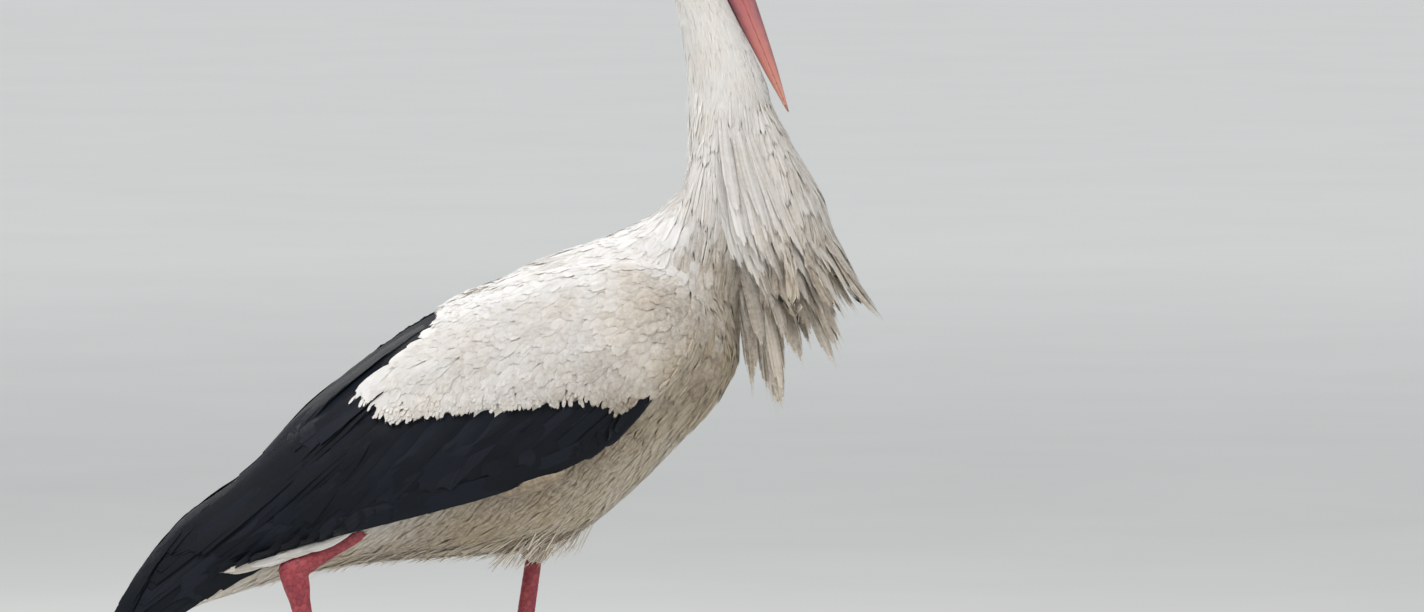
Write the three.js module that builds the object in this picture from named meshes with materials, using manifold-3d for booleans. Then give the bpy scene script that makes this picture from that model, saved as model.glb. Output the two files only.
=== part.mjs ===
// A life-size white stork that stands on its left leg in mid-stride, with its head bowed and its breast
// plumes fluffed forward. Millimetres: X is the way the bird faces, Y its left and Z up. The origin is on the
// floor, under the ball of the standing foot.
import * as THREE from "three";
import { mergeVertices } from "three/addons/utils/BufferGeometryUtils.js";
import Module from "manifold-3d";

const wasm = await Module();
wasm.setup();

// ---- Driving sizes ---------------------------------------------------------------------------------------
const GAP = 0.3; // between pieces that touch
const BODY_HEIGHT = 470; // the middle of the trunk above the floor
const FOOT_TO_BODY = 10; // the middle of the trunk, forward of the standing foot
const BODY_PITCH = THREE.MathUtils.degToRad(30); // breast up, tail down
const TAIL_END = -402; // along the trunk, from its middle
const WING_END = -417;
const BILL_LENGTH = 166;
const BILL_PITCH = THREE.MathUtils.degToRad(67.6); // below the horizontal
const EYE_RADIUS = 8.4;
const TARSUS = 215;
const TOE_JOINT_HEIGHT = 9.5;
const TOE_SINK = 0.9; // how deep a toe pad is flattened where it bears on the floor

// ---- Colours and finishes --------------------------------------------------------------------------------
const finish = (color, roughness) => new THREE.MeshStandardMaterial({ color, roughness, metalness: 0 });
const WHITE_PLUMAGE = finish(0xe6e0d6, 0.85);
const BLACK_PLUMAGE = finish(0x15171c, 0.55);
const BILL_HORN = finish(0xc8584a, 0.45);
const LEG_SKIN = finish(0xa5343c, 0.6);
const CLAW_HORN = finish(0x2c2422, 0.5);
const EYE_GLOSS = finish(0x1a1310, 0.08);

// ---- Helpers ---------------------------------------------------------------------------------------------
// A smooth value between the rows of a table, [at, value, value ...], in order of its first column.
function between(table, at) {
  const last = table.length - 1;
  const x = THREE.MathUtils.clamp(at, table[0][0], table[last][0]);
  let i = 0;
  while (i < last - 1 && x > table[i + 1][0]) i++;
  const [low, high] = [table[i], table[i + 1]];
  const span = high[0] - low[0];
  const t = (x - low[0]) / span;
  const slope = (k, c) => {
    if (k === 0 || k === last) {
      return 0.5 * (table[Math.min(k + 1, last)][c] - table[Math.max(k - 1, 0)][c]) / span;
    }
    const before = (table[k][c] - table[k - 1][c]) / (table[k][0] - table[k - 1][0]);
    const after = (table[k + 1][c] - table[k][c]) / (table[k + 1][0] - table[k][0]);
    return before * after <= 0 ? 0 : (2 * before * after) / (before + after);
  };
  return low.slice(1).map((value, c) => {
    const [m0, m1] = [slope(i, c + 1) * span, slope(i + 1, c + 1) * span];
    const [t2, t3] = [t * t, t * t * t];
    const level = value * (2 * t3 - 3 * t2 + 1) + high[c + 1] * (3 * t2 - 2 * t3);
    return level + m0 * (t3 - 2 * t2 + t) + m1 * (t3 - t2);
  });
}

// One closed body from rings of points that all have the same count. Each end closes on its ring's middle,
// or, where folded is true, across the ring from one half to the other, as a thin bent section needs.
function loft(rings, folded = false) {
  const sides = rings[0].length;
  const points = rings.flat();
  const faces = [];
  for (let r = 0; r < rings.length - 1; r++) {
    for (let i = 0; i < sides; i++) {
      const [a, b] = [r * sides + i, r * sides + ((i + 1) % sides)];
      faces.push(a, b, b + sides, a, b + sides, a + sides);
    }
  }
  for (const end of [0, rings.length - 1]) {
    const at = (i) => end * sides + (i % sides);
    const outwards = end ? ([a, b, c]) => [a, b, c] : ([a, b, c]) => [a, c, b];
    if (folded) {
      for (let i = 0, j = sides - 1; i < j - 1; i++, j--) {
        faces.push(...outwards([at(i), at(i + 1), at(j)]));
        if (i + 1 < j - 1) faces.push(...outwards([at(i + 1), at(j - 1), at(j)]));
      }
    } else {
      const middle = rings[end].reduce((sum, p) => sum.add(p), new THREE.Vector3()).divideScalar(sides);
      points.push(middle);
      for (let i = 0; i < sides; i++) faces.push(...outwards([at(i), at(i + 1), points.length - 1]));
    }
  }
  return new THREE.BufferGeometry().setFromPoints(points).setIndex(faces);
}

// A rounded ring round a point: rise is its reach on the back's side, drop on the belly's side.
function oval(centre, across, back, halfWidth, rise, drop, sides, squareness = 1, turn = 0) {
  return Array.from({ length: sides }, (_, i) => {
    const angle = (2 * Math.PI * (i + turn)) / sides;
    const [c, s] = [Math.cos(angle), Math.sin(angle)];
    const swell = (v) => Math.sign(v) * Math.abs(v) ** squareness;
    return centre.clone()
      .addScaledVector(across, halfWidth * swell(c))
      .addScaledVector(back, (s > 0 ? rise : drop) * swell(s));
  });
}

// A limb along a smooth path: each row is [x, y, z, half width, rise, drop].
function limb(rows, steps, sides, grow = 0, turn = 0) {
  const places = rows.map(([x, y, z]) => new THREE.Vector3(x, y, z));
  const path = new THREE.CatmullRomCurve3(places, false, "centripetal");
  const sizes = rows.map((row, i) => [i / (rows.length - 1), ...row.slice(3)]);
  const rings = [];
  for (let i = 0; i <= steps; i++) {
    const t = i / steps;
    const along = path.getTangent(t);
    const across = new THREE.Vector3(0, 1, 0).addScaledVector(along, -along.y).normalize();
    const back = new THREE.Vector3().crossVectors(along, across);
    const [halfWidth, rise, drop] = between(sizes, t).map((v) => v + grow);
    rings.push(oval(path.getPoint(t), across, back, halfWidth, rise, drop, sides, 1, turn));
  }
  return loft(rings);
}

// three.js geometry to a solid for cutting and joining, and back.
function solid(geometry) {
  const bare = new THREE.BufferGeometry().setAttribute("position", geometry.getAttribute("position").clone());
  if (geometry.index) bare.setIndex(geometry.index.clone());
  const merged = mergeVertices(bare, 1e-3);
  const made = new wasm.Manifold(
    new wasm.Mesh({
      numProp: 3,
      vertProperties: Float32Array.from(merged.attributes.position.array),
      triVerts: Uint32Array.from(merged.index.array),
    }),
  );
  if (made.volume() < 0) throw new Error("a piece is inside out");
  return made;
}

function geometryOf(made) {
  const mesh = made.getMesh();
  const geometry = new THREE.BufferGeometry()
    .setAttribute("position", new THREE.BufferAttribute(mesh.vertProperties, mesh.numProp))
    .setIndex(new THREE.BufferAttribute(mesh.triVerts, 1));
  geometry.computeVertexNormals();
  return geometry;
}

// Of a piece that a cut leaves in several bits, the largest one.
const largest = (made) => made.decompose().sort((a, b) => b.volume() - a.volume())[0];
const joined = (parts) => parts.reduce((sum, part) => sum.add(part));
const cut = (made, ...tools) => largest(tools.reduce((rest, tool) => rest.subtract(tool), made));

const stork = new THREE.Group();
function add(name, made, material) {
  const geometry = made.isBufferGeometry ? made : geometryOf(made);
  const mesh = new THREE.Mesh(geometry, material);
  mesh.name = name;
  stork.add(mesh);
  return mesh;
}

// The trunk's own frame: a runs along the back towards the breast, h is square to it, up through the back.
const trunkToWorld = new THREE.Matrix4()
  .makeTranslation(FOOT_TO_BODY, 0, BODY_HEIGHT)
  .multiply(new THREE.Matrix4().makeRotationY(-BODY_PITCH));
const inTrunk = (a, y, h) => new THREE.Vector3(a, y, h).applyMatrix4(trunkToWorld);
// A point of the neck, head or a leg, measured level from the middle of the trunk.
const fromBody = (x, y, z) => [x + FOOT_TO_BODY, y, z + BODY_HEIGHT];

// ---- Trunk -----------------------------------------------------------------------------------------------
// [along, top, bottom, half width], from the tips of the undertail coverts to the breast.
const TRUNK = [
  [-342, 6, -2, 12], [-300, 28, -10, 24], [-250, 54, -22, 36], [-200, 72, -38, 48], [-150, 86, -61, 59],
  [-80, 100, -95, 71], [-20, 107, -113, 78], [40, 107, -104, 80], [100, 99, -87, 76], [150, 87, -69, 66],
  [180, 64, -45, 49], [197, 30, -12, 22],
];
const TRUNK_SIDES = 20;
const TRUNK_STEPS = 19;
function trunkShape(grow = 0) {
  const rings = [];
  const [first, last] = [TRUNK[0][0] - grow, TRUNK.at(-1)[0] + grow];
  for (let i = 0; i <= TRUNK_STEPS; i++) {
    const a = THREE.MathUtils.lerp(first, last, i / TRUNK_STEPS);
    const [top, bottom, halfWidth] = between(TRUNK, a);
    const middle = bottom + (top - bottom) * 0.47;
    const across = new THREE.Vector3(0, 1, 0);
    const back = inTrunk(0, 0, 1).sub(inTrunk(0, 0, 0));
    rings.push(oval(inTrunk(a, 0, middle), across, back, halfWidth + grow, top - middle + grow,
      middle - bottom + grow, TRUNK_SIDES, 0.94));
  }
  return solid(loft(rings));
}

// ---- Wings -----------------------------------------------------------------------------------------------
// A folded wing is a bent shell over the side of the trunk: [along, reach outwards, top of the back, height
// of the widest line, lower edge, thickness, how far up the back its inner edge lies in degrees].
const WING = [
  [WING_END, 5, 6, 0, -5, 2, 80], [-402, 14, 18, 2, -5, 3.5, 86], [-380, 21, 35, 5, -3, 5, 88],
  [-350, 29, 49, 8, 0, 7, 89], [-312, 38, 65, 10, 4, 8, 89.2], [-275, 46, 72, 12, 6, 10, 89.3],
  [-235, 54, 77, 12, -2, 11, 89.3], [-205, 62, 86, 10, -9, 12, 89.3], [-166, 70, 98, 8, -18, 14, 89.3],
  [-110, 81, 108, 6, -33, 16, 89], [-55, 89, 114, 5, -45, 18, 87], [0, 95, 115, 5, -55, 20, 80],
  [46, 98, 111, 5, -55, 21, 70], [90, 97, 104, 5, -45, 22, 60], [125, 93, 98, 5, -36, 21, 50],
  [148, 84, 93, 5, -27, 18, 40], [160, 74, 88, 5, -18, 13, 32], [168, 63, 82, 5, -7, 7, 26],
];
const WING_STEPS = 21;
const WING_SIDES = 5;
const WING_BELLY = 108; // the reach of the shell's curve below its widest line
function wingShape(side, grow = 0) {
  const rings = [];
  for (let i = 0; i <= WING_STEPS; i++) {
    const share = i / WING_STEPS;
    const a = THREE.MathUtils.lerp(WING_END - grow, WING.at(-1)[0] + grow, share);
    const [reach, top, widest, edge, thick, inner] = between(WING, a);
    const low = -Math.asin(THREE.MathUtils.clamp((widest - edge) / WING_BELLY, 0, 0.9));
    const high = THREE.MathUtils.degToRad(inner);
    const curve = (inset) => Array.from({ length: WING_SIDES + 1 }, (_, k) => {
      const angle = THREE.MathUtils.lerp(high, low, k / WING_SIDES);
      const rise = (angle > 0 ? top - widest : WING_BELLY) - inset * (angle > 0 ? 0.75 : 1);
      const out = Math.max(0.45, (reach - inset) * Math.cos(angle));
      return inTrunk(a, side * out, widest + rise * Math.sin(angle));
    });
    const ring = [...curve(-grow), ...curve(thick + grow).reverse()];
    rings.push(side > 0 ? ring.reverse() : ring);
  }
  return solid(loft(rings, true));
}

// A flat outline in the trunk's side view, drawn through [a, h] corners and cut through the whole bird.
const SIDE_SPAN = 400;
function sideCutter(corners, grow = 0) {
  const outline = new THREE.Shape(corners.map(([a, h]) => new THREE.Vector2(a, h)));
  const block = new THREE.ExtrudeGeometry(outline, { depth: SIDE_SPAN, bevelEnabled: false });
  block.rotateX(Math.PI / 2).translate(grow, SIDE_SPAN / 2, 0).applyMatrix4(trunkToWorld);
  return solid(block);
}

// The white coverts end behind in a point and below in a long edge that climbs towards the tail.
function covertOutline(grow) {
  return [
    [180 + grow, 140], [180 + grow, -80], [104, -80], [94, -38 - grow], [55, -32 - grow], [-2, 2 - grow],
    [-52, 23 - grow], [-103, 45 - grow], [-139 - grow, 82], [-97, 91 + grow], [-58, 99 + grow],
    [-30, 105 + grow], [-18 - grow, 140],
  ];
}
const PRIMARY_LINE = -232; // where the long wing-tip quills come out from under the shorter ones
const PRIMARY_SLANT = 46;
const primaryOutline = (grow) => [
  [PRIMARY_LINE + PRIMARY_SLANT + grow, 150], [PRIMARY_LINE - PRIMARY_SLANT + grow, -70],
  [-500, -70], [-500, 150],
];

// ---- Neck and head ---------------------------------------------------------------------------------------
// Rows for limb(), from inside the trunk up to inside the head; rise is towards the nape.
const NECK = [
  [52, 50, 56, 56, 60], [96, 104, 54, 50, 80], [132, 160, 48, 25, 73], [157, 212, 41, 26, 52],
  [166, 258, 34, 34, 38], [160, 300, 29, 31, 26], [148, 338, 24, 26, 20], [137, 374, 21, 21, 18],
  [131, 406, 19.5, 18.5, 18], [133, 434, 16, 12, 15],
].map(([x, z, ...sizes]) => [...fromBody(x, 0, z), ...sizes]);
const NECK_SPLIT = BODY_HEIGHT + 268;
const neckShape = (grow = 0) => solid(limb(NECK, 15, 15, grow));

const billAxis = new THREE.Vector3(Math.cos(BILL_PITCH), 0, -Math.sin(BILL_PITCH)); // towards its tip
const crownAxis = new THREE.Vector3(Math.sin(BILL_PITCH), 0, Math.cos(BILL_PITCH));
const leftAxis = new THREE.Vector3(0, 1, 0);
const BILL_ROOT = new THREE.Vector3(...fromBody(154, 0, 401.5));
const onHead = (back, y, up) => BILL_ROOT.clone()
  .addScaledVector(billAxis, -back).addScaledVector(crownAxis, up).addScaledVector(leftAxis, y);
// [distance behind the bill's root, half width, crown, throat].
const HEAD = [
  [0.5, 12.2, 14.5, 16.5], [7, 14, 16.5, 18.5], [16, 16.8, 19.8, 20.5], [27, 18.8, 22.6, 22],
  [38, 19.8, 24.2, 22.5], [50, 19.6, 24.2, 22], [61, 17.8, 21.8, 20], [70, 14, 17.2, 16.5],
  [76, 8.7, 10.6, 10.5], [79, 2.5, 3, 3],
];
const HEAD_STEPS = 11;
function headShape(grow = 0) {
  const rings = [];
  for (let i = 0; i <= HEAD_STEPS; i++) {
    const share = 1 - (1 - i / HEAD_STEPS) ** 1.5; // closer rings round the back of the skull
    const back = THREE.MathUtils.lerp(HEAD[0][0], HEAD.at(-1)[0] + grow, share);
    const [halfWidth, crown, throat] = between(HEAD, back).map((v) => v + grow);
    rings.unshift(oval(onHead(back, 0, 0), leftAxis, crownAxis, halfWidth, crown, throat, 16));
  }
  return solid(loft(rings));
}
const EYE_BACK = 30;
const EYE_UP = 5.5;
const EYE_OUT = 12.6;
const eyePlace = (side) => onHead(EYE_BACK, side * EYE_OUT, EYE_UP);
const eyeBall = (radius, side, detail) => {
  const ball = new THREE.SphereGeometry(radius, detail, detail / 2);
  return ball.translate(...eyePlace(side).toArray());
};

// ---- Bill ------------------------------------------------------------------------------------------------
// [share of the length, half width, upper depth, lower depth]: a straight, heavy dagger.
const BILL = [
  [0, 11, 14, 15.5], [0.12, 9.6, 13.2, 14], [0.25, 8.3, 12, 12.6], [0.43, 6.9, 10.3, 10.9],
  [0.6, 5.5, 8.2, 8.4], [0.77, 3.9, 5.7, 5.5], [0.9, 2.2, 3, 2.8], [1, 0.7, 0.8, 0.7],
];
const BILL_ROOM = 1.5; // the neck and plumes stay this far off the bill
const BILL_STEPS = 9;
function mandible(isUpper, grow = 0) {
  const rings = [];
  const seam = grow ? -1 : GAP / 2; // a grown pair overlaps, so that it cuts in one
  for (let i = 0; i <= BILL_STEPS; i++) {
    const share = i / BILL_STEPS;
    const [halfWidth, upper, lower] = between(BILL, share).map((v) => v + grow);
    const depth = (isUpper ? upper : lower) - seam;
    const half = Array.from({ length: 7 }, (_, k) => {
      const angle = (Math.PI * k) / 6;
      const ridge = depth * Math.sin(angle) ** 0.85;
      return [halfWidth * Math.cos(angle), (isUpper ? 1 : -1) * (ridge + seam)];
    });
    const ring = half.map(([y, up]) => onHead(0.1 - share * (BILL_LENGTH + grow), y, up));
    rings.push(isUpper ? ring : ring.reverse());
  }
  return solid(loft(rings));
}

// ---- Breast plumes ---------------------------------------------------------------------------------------
// A bib under the throat carries long plumes that fan out forward and hang to the sides: each plume turns
// about the vertical from straight ahead to well round the side.
const bib = solid(limb([
  [172, 290, 10, 11, 12], [186, 258, 22, 14, 20], [200, 222, 34, 18, 32], [216, 178, 41, 24, 40],
  [228, 140, 40, 27, 34], [236, 112, 32, 24, 24], [240, 94, 17, 12, 14],
].map(([x, z, ...sizes]) => [...fromBody(x, 0, z), ...sizes]), 7, 12));
// Each layer of plumes: where it springs from, how far it reaches and how far it swings forward and sideways.
const PLUME_LAYERS = [
  { count: 6, from: [206, 190], spring: 30, reach: 150, spread: 66, forward: 36.5, aside: 20, width: 7.5 },
  { count: 7, from: [204, 186], spring: 32, reach: 148, spread: 84, forward: 22, aside: 12, width: 8 },
  { count: 6, from: [202, 164], spring: 42, reach: 160, spread: 74, forward: 3, aside: -9, width: 8 },
];
function plume(layer, turn, reach) {
  const outwards = new THREE.Vector3(Math.cos(turn), Math.sin(turn), 0);
  const around = new THREE.Vector3(-Math.sin(turn), Math.cos(turn), 0);
  const root = new THREE.Vector3(...fromBody(layer.from[0], layer.spring * Math.sin(turn), layer.from[1]));
  const swing = THREE.MathUtils.degToRad(layer.aside + (layer.forward - layer.aside) * Math.cos(turn) ** 2);
  const rings = [];
  for (const share of [0.1, 0.6, 0.88, 1]) {
    const angle = swing * (0.9 + 0.13 * share);
    const along = new THREE.Vector3(0, 0, -Math.cos(angle)).addScaledVector(outwards, Math.sin(angle));
    const face = new THREE.Vector3(0, 0, Math.sin(angle)).addScaledVector(outwards, Math.cos(angle));
    const half = layer.width * Math.sqrt(Math.max(0.02, 1 - share ** 3.4));
    const thick = 0.8 + 2.6 * (1 - share);
    rings.push(oval(root.clone().addScaledVector(along, reach * share), around, face, half, thick, thick, 6));
  }
  return solid(loft(rings));
}
function plumes() {
  return PLUME_LAYERS.flatMap((layer, k) => Array.from({ length: layer.count }, (_, i) => {
    const share = (2 * i) / (layer.count - 1) - 1;
    const turn = THREE.MathUtils.degToRad(layer.spread * share);
    return plume(layer, turn, layer.reach * (1 - 0.1 * share * share + 0.05 * Math.cos(5 * i + 3 * k)));
  }));
}

// ---- Tail ------------------------------------------------------------------------------------------------
// [along, half width, half thickness, height]: a narrow closed fan below the wing tips.
const TAIL = [
  [TAIL_END, 8, 1, -2], [-388, 11, 1.3, -1], [-345, 19, 2, 2], [-290, 24, 3, 5], [-236, 20, 5, 9],
];
function tailShape(grow = 0) {
  const rings = [];
  for (let i = 0; i <= 6; i++) {
    const a = THREE.MathUtils.lerp(TAIL[0][0] - grow, TAIL.at(-1)[0], i / 6);
    const [halfWidth, thick, height] = between(TAIL, a).map((v, k) => (k < 2 ? v + grow : v));
    const back = inTrunk(0, 0, 1).sub(inTrunk(0, 0, 0));
    rings.push(oval(inTrunk(a, 0, height), leftAxis, back, halfWidth, thick, thick, 12, 0.8));
  }
  return solid(loft(rings));
}

// ---- Legs ------------------------------------------------------------------------------------------------
// Each leg by the places of its joints, measured level from the middle of the trunk.
const LEGS = {
  left: { side: 1, knee: [20, 44, -8], ankle: [-14.27, 26, -248], lean: 0.02, tuck: -0.12183, lifted: false },
  right: { side: -1, knee: [24, -46, -6], ankle: [-198, -43, -133], lean: 0.208, tuck: 0.02, lifted: true },
};
function legPlaces({ knee, ankle, lean, tuck, lifted }) {
  const top = new THREE.Vector3(...fromBody(...knee));
  const heel = new THREE.Vector3(...fromBody(...ankle));
  const down = new THREE.Vector3(Math.sin(lean), tuck, -Math.cos(lean)).normalize();
  const toes = heel.clone().addScaledVector(down, TARSUS);
  if (!lifted) toes.z = TOE_JOINT_HEIGHT;
  return { top, heel, toes };
}
const towards = (from, to, mm) => from.clone().addScaledVector(to.clone().sub(from).normalize(), mm);
const row = (point, halfWidth, front, behind) => [...point.toArray(), halfWidth, front, behind];

const THIGH_SHARE = 0.52; // how far down the tibia the feathers reach
function thighShape({ top, heel }, grow = 0) {
  const length = top.distanceTo(heel);
  const at = (share) => towards(top, heel, length * share);
  return solid(limb([
    row(at(0.1), 22, 26, 27), row(at(0.3), 20, 23, 23), row(at(THIGH_SHARE - 0.1), 15, 17, 17),
    row(at(THIGH_SHARE - 0.02), 9.5, 10.5, 10.5), row(at(THIGH_SHARE), 7, 7.6, 7.6),
  ], 5, 10, grow));
}
function shankShape({ top, heel }, grow = 0) {
  const length = top.distanceTo(heel);
  const at = (share) => towards(top, heel, length * share);
  return solid(limb([
    row(at(0.3), 5.6, 6.4, 6.4), row(at(0.6), 6, 7.5, 7.5), row(at(0.84), 6.2, 7.8, 7.8),
    row(at(0.94), 8, 9.4, 10), row(at(0.985), 9, 11, 12), row(at(1.02), 8.4, 10, 10), row(at(1.045), 4.5, 5, 5),
  ], 9, 10, grow));
}
const TOE_JOINT_SHARE = 0.955; // where the tarsus meets the foot
function tarsusShape({ heel, toes }, grow = 0) {
  const length = heel.distanceTo(toes);
  const at = (share) => towards(heel, toes, length * share);
  return solid(limb([
    row(at(-0.045), 5.5, 7, 8), row(at(-0.01), 8.8, 12, 13), row(at(0.05), 8.6, 12, 12),
    row(at(0.13), 6.8, 9, 9),
    row(at(0.3), 5.3, 7.2, 7.2), row(at(0.62), 5, 6.4, 6.4), row(at(0.86), 5.6, 6.4, 6.4),
    row(at(TOE_JOINT_SHARE), 7.8, 7.4, 7.2),
  ], 12, 10, grow));
}

// Toes: [name, turn from straight ahead in degrees towards the bird's outside, length, radius].
const TOES = [["inner", -31, 55, 5], ["middle", 2, 73, 5.4], ["outer", 34, 62, 5.1], ["hind", 176, 24, 4.6]];
const CLAW_LENGTH = 10;
const CLAW_SINK = 0.3;
const WEB_SHARE = 0.36;
const TOE_DROOP = 1.02; // how far the front toes of a lifted foot hang, in radians
const HIND_DROOP = -0.8;
// A toe in the foot's own frame: it bears along the floor, or hangs folded from a lifted foot.
function toePoint(turn, distance, sweep, height) {
  const fold = sweep * distance;
  return new THREE.Vector3(distance * Math.cos(turn), distance * Math.sin(turn), height)
    .applyAxisAngle(new THREE.Vector3(-Math.sin(turn), Math.cos(turn), 0), fold);
}
function toeSizes(share, radius) {
  const knuckles = 1 + 0.1 * Math.cos(share * 6 * Math.PI);
  return radius * (1 - 0.34 * share) * knuckles;
}
function footPieces(leg, { heel, toes }) {
  const [pads, claws] = [[], []];
  const level = leg.lifted ? 0 : 1;
  const lift = TOE_JOINT_HEIGHT;
  const placeBy = (droop) => {
    const tilt = new THREE.Matrix4().makeTranslation(toes.x, toes.y, toes.z)
      .multiply(new THREE.Matrix4().makeRotationY(level ? 0 : droop));
    return (v) => v.applyMatrix4(tilt);
  };
  for (const [name, degrees, length, radius] of TOES) {
    const closing = level ? 1 : 0.42; // a lifted foot folds its toes together
    const isHind = Math.abs(degrees) > 90;
    const place = placeBy(isHind ? HIND_DROOP : TOE_DROOP);
    const turn = THREE.MathUtils.degToRad(isHind ? degrees : degrees * closing) * leg.side;
    const sweep = level ? 0 : isHind ? -0.006 : 0.007;
    const rows = [];
    for (const share of [0, 0.12, 0.3, 0.5, 0.7, 0.88, 0.97, 1]) {
      const r = toeSizes(share, radius) * (share > 0.99 ? 0.55 : 1);
      const resting = level ? r - TOE_SINK - lift : -1;
      rows.push([...place(toePoint(turn, length * share, sweep, resting)).toArray(), r, r, r]);
    }
    pads.push(solid(limb(rows, 5, 8, 0, 0.5)));
    const clawShares = [0.93, 1.02, 1.02 + (0.55 * CLAW_LENGTH) / length, 1.02 + CLAW_LENGTH / length];
    const clawRows = clawShares.map((share, k) => {
      const r = toeSizes(1, radius) * [0.7, 0.86, 0.6, 0.18][k];
      const dip = level ? r - lift - CLAW_SINK : -1 - 0.6 * k;
      return [...place(toePoint(turn, length * share, sweep, dip)).toArray(), r * 1.05, r, r];
    });
    claws.push([name, solid(limb(clawRows, 3, 7))]);
  }
  pads.push(...webs(leg, level, placeBy(TOE_DROOP), lift));
  const at = (share) => towards(heel, toes, heel.distanceTo(toes) * share);
  pads.push(solid(limb([
    row(at(TOE_JOINT_SHARE + 0.002), 7.8, 7.4, 7.2), row(at(0.985), 8.6, 8.6, 7.8),
    row(at(1.012), 7.4, 7.6, 6.6), row(at(1.03), 4, 4, 3.5),
  ], 4, 9)));
  return { pads, claws };
}
// Short webs join the front toes at their roots.
function webs(leg, level, place, lift) {
  const closing = level ? 1 : 0.42;
  const made = [];
  for (const [one, other] of [[0, 1], [1, 2]]) {
    const [from, to] = [TOES[one], TOES[other]];
    const rings = [0, 0.33, 0.67, 1].map((share) => {
      const turn = THREE.MathUtils.degToRad(THREE.MathUtils.lerp(from[1], to[1], share) * closing) * leg.side;
      const scoop = 1 - 0.5 * Math.sin(Math.PI * share);
      const reach = THREE.MathUtils.lerp(from[2], to[2], share) * WEB_SHARE * scoop;
      const corner = (distance, height) => place(toePoint(turn, distance, level ? 0 : 0.007, height));
      const base = level ? 1.1 - lift : -2;
      const [under, rim, root] = [base - 0.3, base + 1.3, base + 2.2];
      return [corner(3, under), corner(reach, under), corner(reach, rim), corner(3, root)];
    });
    made.push(solid(loft(leg.side > 0 ? rings.reverse() : rings)));
  }
  return made;
}

// ---- Assembly --------------------------------------------------------------------------------------------
const floorCutter = solid(new THREE.BoxGeometry(900, 900, 100).translate(0, 0, -50));
const halfSpace = (from, height) =>
  solid(new THREE.BoxGeometry(900, 900, height).translate(0, 0, from + height / 2));

const trunk = trunkShape();
const trunkRoom = trunkShape(GAP);
const neckRoom = neckShape(GAP);
const headRoom = headShape(GAP);
const places = { left: legPlaces(LEGS.left), right: legPlaces(LEGS.right) };

const head = headShape();
const eyes = { left: 1, right: -1 };
let bareHead = head;
for (const side of Object.values(eyes)) {
  bareHead = bareHead.subtract(solid(eyeBall(EYE_RADIUS + GAP, side, 10)));
}
add("head", largest(bareHead), WHITE_PLUMAGE);
for (const [name, side] of Object.entries(eyes)) {
  const ball = solid(eyeBall(EYE_RADIUS, side, 10));
  add("eye_" + name, ball, EYE_GLOSS);
}
add("bill_upper", mandible(true), BILL_HORN);
add("bill_lower", mandible(false), BILL_HORN);

const billRoom = mandible(true, BILL_ROOM).add(mandible(false, BILL_ROOM));
const neck = neckShape().subtract(headRoom).subtract(billRoom).subtract(trunkRoom);
add("neck_lower", largest(neck.subtract(halfSpace(NECK_SPLIT - GAP / 2, 600))), WHITE_PLUMAGE);
add("neck_upper", largest(neck.subtract(halfSpace(NECK_SPLIT + GAP / 2 - 900, 900))), WHITE_PLUMAGE);
add("breast_plumes", cut(joined([bib, ...plumes()]), neckRoom, trunkRoom, billRoom), WHITE_PLUMAGE);

for (const [name, leg] of Object.entries(LEGS)) {
  const joints = places[name];
  const tarsus = tarsusShape(joints);
  const shank = shankShape(joints).subtract(tarsusShape(joints, GAP));
  if (leg.lifted) { // its feathered part lies against the trunk, under the wing
    add("leg_" + name + "_shank", cut(shank, trunkRoom), LEG_SKIN);
  } else {
    add("leg_" + name + "_thigh", cut(thighShape(joints), trunkRoom), WHITE_PLUMAGE);
    add("leg_" + name + "_shank", cut(shank, thighShape(joints, GAP), trunkRoom), LEG_SKIN);
  }
  const { pads, claws } = footPieces(leg, joints);
  const foot = joined(pads).subtract(floorCutter);
  add("leg_" + name + "_tarsus", tarsus.subtract(foot), LEG_SKIN);
  const bareFoot = claws.reduce((rest, [, claw]) => rest.subtract(claw), foot);
  add("foot_" + name, largest(bareFoot), LEG_SKIN);
  for (const [toe, claw] of claws) {
    add("claw_" + name + "_" + toe, cut(claw, floorCutter), CLAW_HORN);
  }
}
add("trunk", trunk, WHITE_PLUMAGE);

for (const [name, side] of Object.entries(eyes)) {
  const legRoom = shankShape(places[name], GAP).add(tarsusShape(places[name], GAP));
  const shell = cut(wingShape(side), trunkRoom, neckRoom, legRoom, tailShape(GAP));
  const covertCut = sideCutter(covertOutline(0));
  add("wing_" + name + "_coverts", largest(shell.intersect(covertCut)), WHITE_PLUMAGE);
  const black = shell.subtract(sideCutter(covertOutline(GAP)));
  add("wing_" + name + "_primaries", largest(black.intersect(sideCutter(primaryOutline(0)))), BLACK_PLUMAGE);
  const shorter = black.subtract(sideCutter(primaryOutline(GAP)));
  add("wing_" + name + "_secondaries", largest(shorter), BLACK_PLUMAGE);
}
add("tail", cut(tailShape(), trunkRoom), WHITE_PLUMAGE);

export default stork;
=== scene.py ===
# %% [markdown]
# # A white stork, feather by feather
# The frame holds the bird as plain closed solids. This lesson dresses it: one skin under the plumage, then
# the small feathers in coats that follow the lie of the body, the long quills of the wings and tail, and
# the bare parts, which are the bill, eyes, legs and claws.

# %% Load the frame
import math
import bmesh
import bpy
import numpy as np
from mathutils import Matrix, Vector, noise
from mathutils.bvhtree import BVHTree
from mathutils.kdtree import KDTree


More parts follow.
